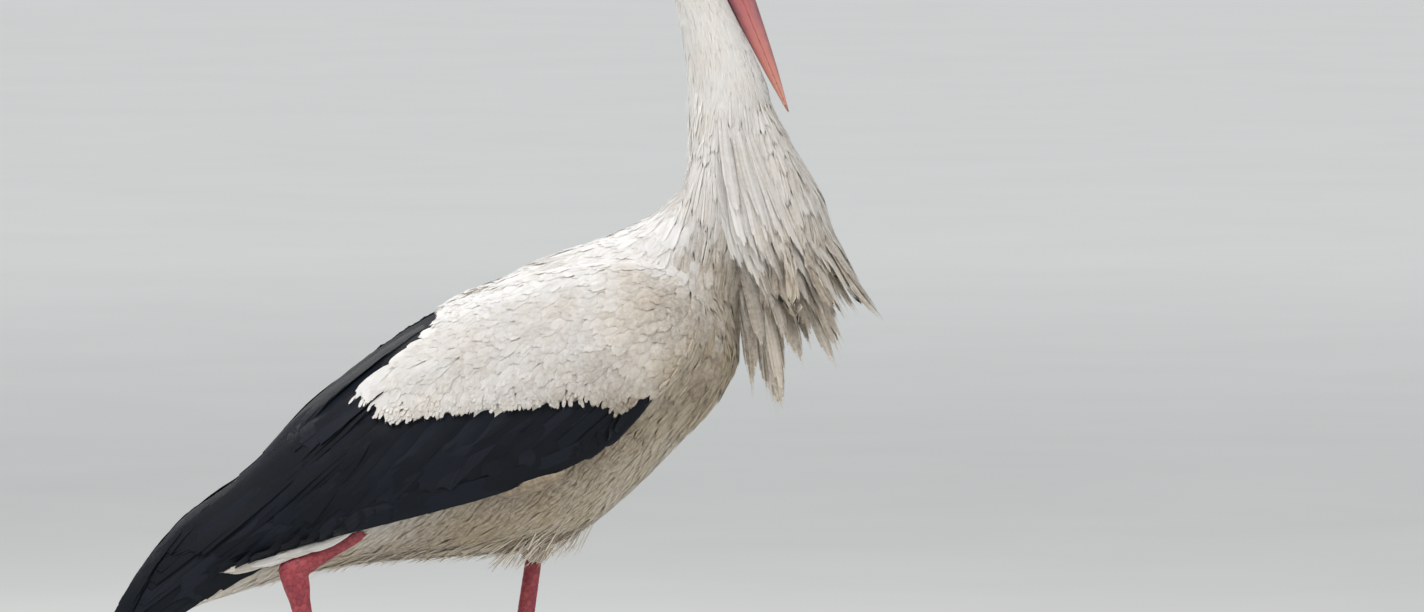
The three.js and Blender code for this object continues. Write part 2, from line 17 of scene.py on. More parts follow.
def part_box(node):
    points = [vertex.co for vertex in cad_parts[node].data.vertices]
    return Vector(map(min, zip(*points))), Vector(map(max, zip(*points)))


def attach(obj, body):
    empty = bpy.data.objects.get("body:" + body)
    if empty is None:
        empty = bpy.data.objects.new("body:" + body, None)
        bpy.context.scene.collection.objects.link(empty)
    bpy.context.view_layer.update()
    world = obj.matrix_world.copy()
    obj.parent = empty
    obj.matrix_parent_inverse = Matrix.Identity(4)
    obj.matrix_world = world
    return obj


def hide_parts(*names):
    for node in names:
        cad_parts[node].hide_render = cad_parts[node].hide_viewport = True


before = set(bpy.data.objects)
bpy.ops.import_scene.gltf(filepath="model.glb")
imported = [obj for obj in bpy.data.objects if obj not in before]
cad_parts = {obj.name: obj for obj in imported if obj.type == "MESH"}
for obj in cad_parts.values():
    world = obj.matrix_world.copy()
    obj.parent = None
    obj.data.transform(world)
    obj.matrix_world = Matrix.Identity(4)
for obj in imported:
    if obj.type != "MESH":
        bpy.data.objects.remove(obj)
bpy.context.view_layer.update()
MM = 0.001

# %% [markdown]
# The body leans: its back slopes up towards the breast. Places on the trunk and wings are easier to give in
# the body's own directions, so two unit vectors are kept: BACKBONE points from tail to breast, UPRIGHT is
# square to it.

# %% The body's own directions
PITCH = math.radians(30)
BODY_MIDDLE = np.array([10, 0, 470]) * MM
BACKBONE = np.array([math.cos(PITCH), 0, math.sin(PITCH)])
UPRIGHT = np.array([-math.sin(PITCH), 0, math.cos(PITCH)])
LEFT = np.array([0.0, 1.0, 0.0])
DOWN = np.array([0.0, 0.0, -1.0])
TURN = {"left": 1, "right": -1}  # which way each side of the bird faces, along LEFT


def on_body(along, side, height):
    """A point given in millimetres along the backbone, to the left and up through the back."""
    return BODY_MIDDLE + MM * (along * BACKBONE + side * LEFT + height * UPRIGHT)


def body_places(points):
    """The same three numbers, in millimetres, for an array of points."""
    away = (np.asarray(points) - BODY_MIDDLE) / MM
    return away @ BACKBONE, away @ LEFT, away @ UPRIGHT


def unit(vectors):
    length = np.linalg.norm(vectors, axis=-1, keepdims=True)
    return vectors / np.maximum(length, 1e-9)


def ease(value, low, high):
    """0 below low, 1 above high, and a smooth step between."""
    t = np.clip((value - low) / (high - low), 0, 1)
    return t * t * (3 - 2 * t)


# %% [markdown]
# Operators act on whatever is selected, so each helper below starts by selecting only its own piece.

# %% Helpers for modelling with operators
def only(piece):
    bpy.ops.object.select_all(action="DESELECT")
    piece.select_set(True)
    bpy.context.view_layer.objects.active = piece
    return piece


def apply_all(piece):
    only(piece)
    for modifier in list(piece.modifiers):
        bpy.ops.object.modifier_apply(modifier=modifier.name)
    return piece


def merged_copy(name, *nodes):
    """One mesh copied from some of the frame's nodes, with the loose triangles joined up."""
    bpy.ops.object.select_all(action="DESELECT")
    copies = []
    for node in nodes:
        copy = bpy.data.objects.new(name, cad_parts[node].data.copy())
        bpy.context.scene.collection.objects.link(copy)
        copy.select_set(True)
        copies.append(copy)
    bpy.context.view_layer.objects.active = copies[0]
    if len(copies) > 1:
        bpy.ops.object.join()
    piece = bpy.context.view_layer.objects.active
    piece.name = name
    piece.data.name = name
    piece.data.materials.clear()
    bpy.ops.object.mode_set(mode="EDIT")
    bpy.ops.mesh.select_all(action="SELECT")
    bpy.ops.mesh.remove_doubles(threshold=1e-5)
    bpy.ops.object.mode_set(mode="OBJECT")
    return piece


def rounded_form(piece, voxel, smoothing):
    """Melts the piece into one even skin and smooths the flat facets away."""
    melt = piece.modifiers.new("melt", "REMESH")
    melt.mode = "VOXEL"
    melt.voxel_size = voxel * MM
    soften = piece.modifiers.new("soften", "SMOOTH")
    soften.factor = 0.5
    soften.iterations = smoothing
    apply_all(piece)
    bpy.ops.object.shade_smooth()
    print(piece.name, len(piece.data.polygons), "faces")
    return piece


NAPE_CORNER = (0.130, 0.664)
NAPE_REACH = 0.024
NAPE_SHIFT = np.array([0.010, 0, -0.003])


def hollow_nape(piece):
    """Draws the corner between the nape and the back in, where the neck's feathers end short."""
    places = vertices_of(piece)
    ahead, above = places[:, 0] - NAPE_CORNER[0], places[:, 2] - NAPE_CORNER[1]
    near = np.exp(-(ahead ** 2 + above ** 2) / NAPE_REACH ** 2)
    place_vertices(piece, places + near[:, None] * NAPE_SHIFT)
    return piece


def vertices_of(piece, value="co"):
    numbers = np.empty(len(piece.data.vertices) * 3)
    piece.data.vertices.foreach_get(value, numbers)
    return numbers.reshape(-1, 3)


def normals_of(piece):
    return vertices_of(piece, "normal")


def edges_of(piece):
    """The vertex numbers at the two ends of each edge."""
    ends = np.empty(len(piece.data.edges) * 2, int)
    piece.data.edges.foreach_get("vertices", ends)
    return ends.reshape(-1, 2)


def place_vertices(piece, places):
    piece.data.vertices.foreach_set("co", np.ascontiguousarray(places, dtype=np.float32).ravel())
    piece.data.update()


def face_corners(piece):
    """The vertex numbers of each face, with a triangle's last one repeated."""
    corners = [list(p.vertices) for p in piece.data.polygons]
    return np.array([(c + [c[-1]])[:4] for c in corners])


# %% [markdown]
# A form is a smooth surface that feathers can be laid on. It answers one question for any point: where is
# the nearest place on the surface, which way is out, and which way do the feathers lie there? The lie
# starts as a rule for each part of the body and is then spread over the mesh, so that one part's feathers
# turn gently into the next's.

# %% Surfaces with a lie
class Form:
    def __init__(self, piece, lie_rule, spreading):
        self.piece = piece
        self.places = vertices_of(piece)
        self.corners = face_corners(piece)
        self.tree = BVHTree.FromPolygons(self.places.tolist(), self.corners.tolist())
        self.ends = edges_of(piece)
        self.out = self.spread(normals_of(piece), 3)
        lie = self.flat(lie_rule(self.places, self.out))
        for _ in range(spreading):
            lie = self.flat(self.spread(lie, 1))
        self.lie = lie
        self.face_out = unit(self.out[self.corners].mean(1))
        self.face_lie = unit(self.lie[self.corners].mean(1))

    def flat(self, vectors):
        """The vectors with what points out of the surface taken away."""
        return unit(vectors - self.out * np.sum(vectors * self.out, 1, keepdims=True))

    def spread(self, vectors, times):
        for _ in range(times):
            total = vectors.copy()
            for one, other in ((0, 1), (1, 0)):
                near = vectors[self.ends[:, other]]
                for axis in range(3):
                    total[:, axis] += np.bincount(self.ends[:, one], near[:, axis], len(vectors))
            vectors = unit(total)
        return vectors

    def touch(self, points):
        """For each point: the nearest place on the surface, the way out, the lie, and how far off it was."""
        found = [self.tree.find_nearest(p) for p in points.tolist()]
        faces = np.array([f[2] for f in found])
        there, off = (np.array([f[part] for f in found]) for part in (0, 3))
        return there, self.face_out[faces], self.face_lie[faces], off


TRIES = 5  # places tried for each square of one spacing's width


def scattered(form, spacing, keep, seed):
    """Evenly strewn places on a form, where keep(points, out) is true. The spacing between them is in
    millimetres, as one number or as a rule that gives it for each place."""
    draw = np.random.default_rng(seed)
    a, b, c, d = (form.places[form.corners[:, k]] for k in range(4))
    halves = np.cross(b - a, c - a), np.cross(c - a, d - a)
    area = sum(np.linalg.norm(half, axis=1) for half in halves) / 2
    middles = (a + b + c + d) / 4
    wanted = keep(middles, form.face_out)
    gap = (spacing(middles) if callable(spacing) else np.full(len(middles), spacing)) * MM
    share = np.where(wanted, area / gap ** 2, 0)
    count = int(share.sum() * TRIES)
    faces = draw.choice(len(area), count, p=share / share.sum())
    u, v = draw.random((2, count, 1))
    points = (1 - u) * ((1 - v) * a[faces] + v * b[faces]) + u * ((1 - v) * d[faces] + v * c[faces])
    gaps = gap[faces]
    cells, chosen = {}, []
    size = gap[wanted].max()
    for i, (point, reach) in enumerate(zip(points, gaps)):
        key = tuple(int(x // size) for x in point)
        near = (j for x in (-1, 0, 1) for y in (-1, 0, 1) for z in (-1, 0, 1)
                for j in cells.get((key[0] + x, key[1] + y, key[2] + z), ()))
        px, py, pz = point
        if all((px - points[j, 0]) ** 2 + (py - points[j, 1]) ** 2 + (pz - points[j, 2]) ** 2 > reach * reach
               for j in near):
            cells.setdefault(key, []).append(i)
            chosen.append(i)
    return points[chosen]


# %% [markdown]
# ## The forms under the plumage
# A bird's outline is its plumage, so the frame's solids are the outside of the coat. They could be dressed
# as they are, but their facets and joints would show through. Two smooth forms are melted from copies of
# them instead, one for the head, neck and trunk and one for each folded wing, and the feathers are laid on
# those.

# %% Where the neck runs, and which way it leans
neck_points = np.vstack([vertices_of(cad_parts[n]) for n in ("neck_lower", "neck_upper")])
neck_levels = np.arange(0.60, 0.89, 0.03)
RING_HALF_HEIGHT = 0.02
neck_middles = []
for level in neck_levels:
    ring = neck_points[np.abs(neck_points[:, 2] - level) < RING_HALF_HEIGHT]
    neck_middles.append((ring[:, 0].min() + ring[:, 0].max()) / 2)
neck_middles = np.array(neck_middles)
neck_slopes = np.gradient(neck_middles, neck_levels)
print("the neck's middle lies at x =", np.round(neck_middles / MM))

BILL_PITCH = math.radians(67.6)
BILL_AXIS = np.array([math.cos(BILL_PITCH), 0, -math.sin(BILL_PITCH)])
CROWN_AXIS = np.array([math.sin(BILL_PITCH), 0, math.cos(BILL_PITCH)])
BILL_ROOT = np.array([164, 0, 871.5]) * MM


def head_places(points):
    """Millimetres behind the bill's root, to the left, and towards the crown."""
    away = (np.asarray(points) - BILL_ROOT) / MM
    return -away @ BILL_AXIS, away @ LEFT, away @ CROWN_AXIS


def ahead_of_neck(points):
    """How far a place is in front of the neck's middle, in metres."""
    return points[:, 0] - np.interp(points[:, 2], neck_levels, neck_middles)


def nearest_node(points, names):
    """For each point, the number in the list of the frame's node that it lies closest to."""
    distances = []
    for name in names:
        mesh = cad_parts[name].data
        tree = BVHTree.FromPolygons([v.co for v in mesh.vertices], [p.vertices for p in mesh.polygons])
        distances.append([tree.find_nearest(p)[3] for p in points.tolist()])
    return np.argmin(distances, 0)


# %% [markdown]
# The lie runs away from the bill everywhere: back over the crown, down the neck, and from the breast along
# the flanks to the tail. On the wing it turns from along the back to nearly straight down at the edge of
# the white.

# %% The lie of the feathers
BODY_NODES = ["trunk", "neck_lower", "neck_upper", "head", "leg_left_thigh"]
NECKS, HEAD, THIGH = (1, 2), 3, 4  # their places in that list


def body_lie(places, out):
    owner = nearest_node(places, BODY_NODES)
    flank = -BACKBONE - 0.3 * UPRIGHT
    chest = ease(out @ BACKBONE, 0.3, 0.75)[:, None]
    lie = flank * (1 - chest) - UPRIGHT * chest
    slope = np.interp(places[:, 2], neck_levels, neck_slopes)
    down_neck = np.stack([-slope, np.zeros(len(slope)), -np.ones(len(slope))], 1)
    on_neck = np.isin(owner, NECKS)
    lie[on_neck] = down_neck[on_neck]
    back, _, up = head_places(places)
    over = np.cross(out, LEFT)
    aside = ease(back, 20, 60)[:, None]
    sides = -BILL_AXIS * (1 - aside) + (DOWN - 0.5 * np.array([1, 0, 0])) * aside
    on_crown = np.linalg.norm(over, axis=1, keepdims=True) ** 2
    head_lie = over * on_crown + sides * (1 - on_crown)
    chin = (out @ CROWN_AXIS < 0.1) & (back < 34)
    head_lie[chin] = -BILL_AXIS
    lie[owner == HEAD] = head_lie[owner == HEAD]
    lie[owner == THIGH] = DOWN
    return lie


# The white coverts' lower edge from the side, along and up, as the lie turns by it.
FRINGE = np.array([[-139, 82], [-103, 45], [-52, 23], [-2, 2], [55, -32], [104, -60]])


def above_fringe(points):
    """How far above the lower edge of the white wing coverts a point is, in millimetres."""
    along, _, height = body_places(points)
    return height - np.interp(along, FRINGE[:, 0], FRINGE[:, 1])


def wing_lie(places, out):
    steep = np.radians(4 + 56 * ease(-above_fringe(places), -62, -8))[:, None]
    return -BACKBONE * np.cos(steep) - UPRIGHT * np.sin(steep)


WHOLE_NODES = BODY_NODES + [f"wing_{side}_{part}" for part in ("coverts", "secondaries") for side in TURN]


def on_wings(points):
    return nearest_node(points, WHOLE_NODES) >= len(BODY_NODES)


def whole_lie(places, out):
    wing = on_wings(places)
    lie = body_lie(places, out)
    lie[wing] = wing_lie(places[wing], out[wing])
    return lie


def rippled(piece, rise):
    """Low folds that run with the wing, where the feathers lie in loose sheaves."""
    places, out = vertices_of(piece), normals_of(piece)
    along, side, height = body_places(places)
    spots = np.stack([along / 46, side / 30, height / 19], 1)
    folds = np.array([noise.noise(Vector(spot)) + 0.5 * noise.noise(Vector(spot) * 2.3) for spot in spots])
    folds = np.maximum(folds, -0.12)
    place_vertices(piece, places + out * (folds * rise * MM)[:, None])
    return piece


body = Form(hollow_nape(rounded_form(merged_copy("body_form", *BODY_NODES), 2.6, 14)), body_lie, 70)
wings = {}
for side in TURN:
    nodes = [f"wing_{side}_{part}" for part in ("coverts", "secondaries", "primaries")]
    wings[side] = Form(rounded_form(merged_copy(f"wing_form_{side}", *nodes), 2.2, 10), wing_lie, 10)
whole_form = rippled(hollow_nape(rounded_form(merged_copy("whole_form", *WHOLE_NODES), 3.4, 26)), 2.4)
whole = Form(whole_form, whole_lie, 60)

# %% [markdown]
# ## The skin
# Under the feathers lies one skin, as deep below the outline as the coat is thick there: hardly a
# millimetre on the head, up to three on the body. It closes every chink between the feathers and carries
# their markings.

# %% The skin
SKIN_NODES = [*BODY_NODES, "wing_left_coverts", "wing_right_coverts"]
QUILL_NODES = ["wing_left_secondaries", "wing_right_secondaries"]
# How deep the skin lies under each of those nodes, in millimetres.
COAT_DEPTH = np.array([2.7, 1.9, 1.2, 0.95, 2.6, 3.6, 3.6, 3.0, 3.0])
EYE_DEPTH = 1.9  # added round the eyes, where bare skin lies over this one
skin = hollow_nape(rounded_form(merged_copy("skin", *SKIN_NODES, *QUILL_NODES), 2.6, 8))
skin_places = vertices_of(skin)
skin_owner = nearest_node(skin_places, SKIN_NODES + QUILL_NODES)
skin_depth = COAT_DEPTH[skin_owner]
ends = edges_of(skin)
neighbours = np.bincount(ends.ravel(), minlength=len(skin_places))
for _ in range(12):
    total = np.bincount(ends[:, 0], skin_depth[ends[:, 1]], len(skin_depth))
    total += np.bincount(ends[:, 1], skin_depth[ends[:, 0]], len(skin_depth))
    skin_depth = 0.5 * skin_depth + 0.5 * total / neighbours
EYE_MIDDLES = {side: np.array(sum(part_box(f"eye_{side}"), Vector())) / 2 for side in TURN}
for middle in EYE_MIDDLES.values():
    away = np.linalg.norm(skin_places - middle, axis=1) / MM
    skin_depth += EYE_DEPTH * (1 - ease(away, 15, 22))
place_vertices(skin, skin_places - normals_of(skin) * skin_depth[:, None] * MM)
print("the skin lies", round(skin_depth.min(), 1), "to", round(skin_depth.max(), 1), "mm under the outline")

# %% [markdown]
# ## Finishes
# Each finish is a small network of nodes. One class keeps them readable: each of its methods adds a node,
# links or sets its sockets, and gives back what comes out of it. A written sRGB colour is turned into the
# linear one that the sockets take.

# %% Helpers for materials
def paint(written):
    shares = [int(written[i:i + 2], 16) / 255 for i in (0, 2, 4)]
    return (*[s / 12.92 if s <= 0.04045 else ((s + 0.055) / 1.055) ** 2.4 for s in shares], 1)


class Finish:
    def __init__(self, name):
        self.material = bpy.data.materials.new(name)
        self.material.use_nodes = True
        self.surface = self.material.node_tree.nodes["Principled BSDF"]
        self.place = self.add("TexCoord").outputs["Object"]

    def add(self, kind, settings=None, **sockets):
        made = self.material.node_tree.nodes.new("ShaderNode" + kind)
        for key, value in (settings or {}).items():
            setattr(made, key, value)
        for key, value in sockets.items():
            self.connect(made.inputs[key.replace("_", " ")], value)
        return made

    def connect(self, socket, value):
        """Links a socket to another one's output, or sets it to a plain value."""
        if isinstance(value, bpy.types.NodeSocket):
            self.material.node_tree.links.new(value, socket)
        else:
            socket.default_value = value

    def put(self, **sockets):
        """Connects sockets of the surface itself."""
        for key, value in sockets.items():
            self.connect(self.surface.inputs[key.replace("_", " ")], value)

    def stored(self, name):
        return self.add("Attribute", {"attribute_name": name}).outputs["Fac"]

    def maths(self, operation, *values, clamp=False, kind="Math", output=0):
        made = self.add(kind, {"operation": operation})
        if clamp:
            made.use_clamp = True
        for socket, value in zip(made.inputs, values):
            self.connect(socket, value)
        return made.outputs[output]

    def noise(self, where, scale, detail, roughness=0.5):
        made = self.add("TexNoise", Vector=where, Scale=scale, Detail=detail, Roughness=roughness)
        return made.outputs["Fac"]

    def ranged(self, value, **ends):
        return self.add("MapRange", Value=value, **ends).outputs["Result"]

    def mix(self, share, one, other, blend="MIX"):
        return self.add("MixRGB", {"blend_type": blend}, Fac=share, Color1=one, Color2=other).outputs[0]

    def ramp(self, share, *stops):
        """A colour ramp through (place, colour) stops."""
        made = self.add("ValToRGB", Fac=share)
        made.color_ramp.elements[0].position, made.color_ramp.elements[0].color = stops[0]
        made.color_ramp.elements[1].position, made.color_ramp.elements[1].color = stops[-1]
        for place, colour in stops[1:-1]:
            made.color_ramp.elements.new(place).color = colour
        return made.outputs["Color"]

    def bump(self, height, strength, distance):
        made = self.add("Bump", Strength=strength, Distance=distance, Height=height)
        self.put(Normal=made.outputs["Normal"])


# %% [markdown]
# Plumage, white and black alike, is one network. Each feather carries how soiled and shaded it is, as soil
# and painted shade both turn it cream; how much streaky grey it shows, partly old down and partly painted
# shade;
# how much black pigment it has, and a lot number that sets it off from its neighbours. Its own small map runs
# across and along the vane, and draws the barbs and the shaft.

# %% Plumage
WHITE = paint("f3efea")
WHITE_WORN = paint("e9dfd0")
# Cream and grey-brown colour soil and streaks, and also the painted shade under the body and between locks.
CREAM = paint("cfbc98")
GREY_BROWN = paint("8f7f6e")
BLACK = paint("0a0f17")
BLUE_BLACK = paint("111721")
BLACK_WORN = paint("262325")
MARKINGS = ("soil", "streak", "ink", "lot")


def plumage_finish(name, roughness, specular, sheen, barbs):
    finish = Finish(name)
    soil, streak, ink, lot = (finish.stored(marking) for marking in MARKINGS)
    vane = finish.add("UVMap", {"uv_map": "Vane"}).outputs["UV"]
    across = finish.add("SeparateXYZ", Vector=vane).outputs
    cloud = finish.noise(finish.place, 26.0, 4.0, 0.6)
    fine = finish.noise(finish.place, 240.0, 3.0, 0.7)
    # Barbs lean from the shaft towards the tip, so their pattern moves back with the distance from the shaft.
    lean = finish.maths("MULTIPLY_ADD", finish.maths("ABSOLUTE", across["X"]), -0.35, across["Y"])
    barb = finish.noise(finish.add("CombineXYZ", X=lean, Y=lot).outputs["Vector"], barbs, 2.0, 0.7)
    # Soil and painted shade both turn the white towards cream.
    soiled_and_shaded = finish.maths("ADD", finish.maths("MULTIPLY_ADD", cloud, 0.9, -0.45), soil)
    white = finish.ramp(soiled_and_shaded, (0.0, WHITE), (0.45, WHITE_WORN), (1.0, CREAM))
    # Streaks of old down and painted shade both grey it.
    strength = finish.maths("MULTIPLY", finish.maths("MULTIPLY", streak, fine), 1.5, clamp=True)
    greyed = finish.mix(strength, white, GREY_BROWN)
    worn = finish.maths("MULTIPLY", lot, barb)
    dark = finish.ramp(worn, (0.2, BLACK), (0.45, BLUE_BLACK), (0.8, BLACK_WORN))
    shade = finish.maths("MULTIPLY", finish.ranged(barb, To_Min=0.9, To_Max=1.06),
                         finish.ranged(lot, To_Min=0.93, To_Max=1.03))
    feather = finish.mix(1.0, finish.mix(ink, greyed, dark), shade, "MULTIPLY")
    finish.put(Base_Color=feather, Roughness=roughness, Specular_IOR_Level=specular, Sheen_Weight=sheen,
               Sheen_Roughness=0.4)
    if sheen:
        finish.put(Subsurface_Weight=0.35, Subsurface_Radius=(1.0, 0.8, 0.6), Subsurface_Scale=0.004)
    finish.bump(barb, 0.35, 0.0006)
    return finish.material


soft_plumage = plumage_finish("soft_plumage", 0.85, 0.2, 0.25, 34.0)
quill_plumage = plumage_finish("quill_plumage", 0.5, 0.15, 0.0, 150.0)

# %% [markdown]
# The markings are worked out once, for any place on the bird, so that the skin and each feather get the
# same ones: soil on the ruff, breast and belly, with painted shade added low on the breast, on the belly and
# at its rear; grey streaks where the down shows through, laid on thicker as painted shade at the belly's rear
# and on the wing's lower coverts, and left off the nape as painted light; and black behind the wing coverts.

# %% Markings
def soil_and_shade_at(points):
    along, side, height = body_places(points)
    # Under the body it darkens: soil on the belly and breast, with painted shade on the belly, at the rear
    # under the wing and low on the breast under the ruff.
    belly = 0.75 * ease(-height, -20, 70) * ease(along, -420, -160)
    rear = 0.3 * ease(-along, 60, 260) * ease(-height, -60, 10)
    breast = 0.50 * ease(along, 90, 190) * ease(-points[:, 2], -0.70, -0.58) * ease(-height, -85, -20)
    ruff = 0.22 * ease(points[:, 0], 0.16, 0.24) * ease(-points[:, 2], -0.74, -0.64)
    wing = 0.10 * ease(np.abs(side), 40, 85)
    return np.clip(0.02 + belly + rear + np.maximum(breast, ruff) + wing, 0, 1)


def streak_and_shade_at(points):
    along, side, height = body_places(points)
    # The breast and belly are greyed, thickest at the belly's rear under the wing: partly old down, partly
    # painted shade.
    breast = ease(along, 100, 170) * ease(-points[:, 2], -0.68, -0.58) * ease(-height, -85, -20)
    belly = (0.5 + 0.5 * ease(-along, 20, 160)) * ease(-height, 0, 60)
    # The neck's grey is left off the nape, which is kept lighter as painted light, where light falls on it
    # from behind.
    behind = ease(-ahead_of_neck(points), -0.005, 0.02)
    neck = 0.22 * ease(points[:, 2], 0.60, 0.66) * ease(-points[:, 2], -0.78, -0.70) * (1 - behind)
    # The coverts are greyed, most on their lower part, as painted shade where they turn down from the light.
    low = 0.45 * ease(-height, -50, 30) * ease(along, -90, 60)
    wing = ease(np.abs(side), 45, 80) * ease(-along, -140, -90) * (0.30 + low)
    return np.clip(0.03 + 0.75 * breast + belly + neck + wing, 0, 1)


def mark(piece, **values):
    """Stores one number per vertex for each marking."""
    for name, value in values.items():
        stored = piece.data.attributes.new(name, "FLOAT", "POINT")
        stored.data.foreach_set("value", np.broadcast_to(value, len(piece.data.vertices)).astype(np.float32))


def dress(piece, material, slot, *nodes):
    """The last step for every piece: its finish, the body it rides on and the nodes it stands for."""
    piece.data.materials.clear()
    piece.data.materials.append(material)
    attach(piece, "root")
    if nodes:
        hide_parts(*nodes)
    print(piece.name, len(piece.data.polygons), "faces")
    return piece


mark(skin, soil=soil_and_shade_at(vertices_of(skin)), streak=0.3 * streak_and_shade_at(vertices_of(skin)),
     ink=(skin_owner >= len(SKIN_NODES)).astype(float), lot=0.4)
skin.data.uv_layers.new(name="Vane")
dress(skin, soft_plumage, "white_plumage", *SKIN_NODES)

# %% [markdown]
# ## One feather
# A vane is modelled flat from a grid, one unit wide to each side and one long. Its rows are drawn in to the
# outline, every second edge point is pulled back so that the barbs part in small teeth, and a flipped copy
# of the sheet, sunk a little and merged round the rim, closes it into a thin solid.

# %% Model a vane
def vane(name, rows, columns, outline, teeth, fray, crown, thickness, seed):
    """outline(share) is the half width along the vane; crown is how far its middle stands above its edges.
    Teeth notch the sides, and fray is how deep the tip is split into fingers."""
    bpy.ops.object.select_all(action="DESELECT")
    bpy.ops.mesh.primitive_grid_add(x_subdivisions=columns, y_subdivisions=rows, size=2)
    piece = bpy.context.view_layer.objects.active
    piece.name = name
    draw = np.random.default_rng(seed)
    places = vertices_of(piece)
    x, share = places[:, 0].copy(), (places[:, 1] + 1) / 2
    row = np.round(share * rows).astype(int)
    notch = draw.random(rows + 1) * teeth
    notch[row.max()] = 0
    on_edge = np.abs(x) > 0.99
    half = outline(share) * (1 - np.where(on_edge, notch[row] + teeth * (row % 2) * 0.6, 0))
    places[:, 0] = x * half
    places[:, 2] = crown * (1 - x * x) * np.sqrt(np.maximum(outline(share), 0))
    column = np.round((x + 1) * columns / 2).astype(int)
    finger = fray * ((column % 2) + 0.6 * draw.random(columns + 1)[column])
    frayed = (0.14 * x * x + finger) * ease(share, 1 - 2.2 * fray - 0.1, 1.0)
    places[:, 1] = share - frayed + 0.05 * np.abs(x) * np.sin(np.pi * share)
    place_vertices(piece, places)
    only(piece)
    bpy.ops.object.mode_set(mode="EDIT")
    bpy.ops.mesh.select_all(action="SELECT")
    bpy.ops.mesh.duplicate()
    bpy.ops.mesh.flip_normals()
    mesh = bmesh.from_edit_mesh(piece.data)
    for v in mesh.verts:
        if v.select and not v.is_boundary:
            v.co.z -= thickness
    bmesh.update_edit_mesh(piece.data)
    bpy.ops.mesh.select_all(action="SELECT")
    bpy.ops.mesh.remove_doubles(threshold=1e-4)
    bpy.ops.mesh.quads_convert_to_tris()
    bpy.ops.object.mode_set(mode="OBJECT")
    triangles = np.array([p.vertices for p in piece.data.polygons])
    facing = np.array([math.copysign(1, p.normal.z) for p in piece.data.polygons])
    shape = vertices_of(piece).copy(), triangles, facing
    print(name, len(triangles), "triangles")
    bpy.data.objects.remove(piece)
    return shape


LEAF_BROADEST, LANCE_BROADEST = 0.62, 0.45  # how far along each kind is widest


def leaf(share):
    """A body feather: narrow at the root, broad past its middle, with a soft, frayed tip."""
    grow = 0.22 + 0.78 * np.sin(np.pi / 2 * np.clip(share / LEAF_BROADEST, 0, 1))
    close = np.sqrt(1 - 0.9 * np.clip((share - LEAF_BROADEST) / 0.38, 0, 1) ** 2)
    return np.where(share < LEAF_BROADEST, grow, close)


def lance(share):
    """A neck feather: slim and drawn out to a point."""
    grow = 0.35 + 0.65 * np.sin(np.pi / 2 * np.clip(share / LANCE_BROADEST, 0, 1))
    close = np.clip(1 - ((share - LANCE_BROADEST) / 0.56) ** 2.4, 0.01, 1)
    return np.where(share < LANCE_BROADEST, grow, close)


def strap(share):
    """A flight feather: even in width, closing quickly at the tip."""
    return (0.55 + 0.45 * ease(share, 0, 0.3)) * np.sqrt(np.clip(1 - ease(share, 0.86, 1.0) ** 2, 0.004, 1))


# Each kind has a few variants, and a number that says how round its shading is from edge to edge.
LEAVES = [vane(f"leaf_{i}", 6, 8, leaf, 0.05, 0.055, 0.05, 0.025, 10 + i) for i in range(5)], 0.28
STRAPS = [vane(f"strap_{i}", 30, 6, strap, 0.012, 0.0, 0.06, 0.03, 30 + i) for i in range(3)], 0.3
LANCES = [vane(f"lance_{i}", 6, 2, lance, 0.12, 0.0, 0.10, 0.10, 20 + i) for i in range(4)], 0.35
HAIRS = [vane(f"hair_{i}", 3, 2, lance, 0.10, 0.0, 0.10, 0.10, 40 + i) for i in range(3)], 0.3

# %% [markdown]
# ## A coat of feathers
# Each feather starts at its root and walks over the form along the lie, one short step at a time, dropping
# back to the surface after each step. Where the surface ends it walks straight on, so tips stand free at
# the fringes. The flat vane is then bent along that walk.

# %% Lay and dress feathers
def walk(form, roots, lengths, draw, steps, wander, depth, lift, bow=0.7, heading=None, hold=3.0):
    """Middle lines from the roots, and the way out along them. Lengths and heights are in millimetres.

    Each line wanders from the lie by some degrees, or follows a heading. It starts at a depth and rises to
    its lift, late if bow is above 1. Once it leaves the surface by more than hold, it runs straight on."""
    here, out, lie, _ = form.touch(roots)
    swing = np.radians(draw.normal(0, wander, len(roots)))[:, None]
    pace = (np.broadcast_to(lengths, len(roots)) * MM / steps)[:, None]
    free = np.zeros(len(roots), bool)
    middles, outs = [here - out * depth * MM], [out]
    lift = np.broadcast_to(lift, len(roots))[:, None]
    rises = -depth + (depth + lift) * (np.arange(steps + 1) / steps) ** bow
    for k in range(1, steps + 1):
        if heading is not None:
            asked = heading(here)
            lie = unit(asked - out * np.sum(asked * out, 1, keepdims=True))
        ahead = here + (lie * np.cos(swing) + np.cross(out, lie) * np.sin(swing)) * pace
        there, new_out, new_lie, off = form.touch(ahead)
        loose = free | (off > hold * MM)
        there[loose], new_out[loose], new_lie[loose] = ahead[loose], out[loose], lie[loose]
        free, here, out, lie = loose, there, new_out, new_lie
        middles.append(here + out * rises[:, k:k + 1] * MM)
        outs.append(out)
    return np.stack(middles, 1), unit(np.stack(outs, 1))


def lay(form, roots, draw, length, lift, rise=0, **how):
    """Walks with lengths given as (middle, spread), and lifts as (least, range) with a further rise."""
    lengths = length[0] + draw.normal(0, length[1], len(roots))
    lifts = lift[0] + lift[1] * draw.random(len(roots)) + rise
    return walk(form, roots, lengths, draw, lift=lifts, **how)


def along_walk(values, share):
    """Values at the walk's stations, read off at shares of its length."""
    spot = np.clip(share, 0, 1) * (values.shape[1] - 1)
    low = np.minimum(spot.astype(int), values.shape[1] - 2)
    part = (spot - low)[None, :, None]
    return values[:, low] * (1 - part) + values[:, low + 1] * part


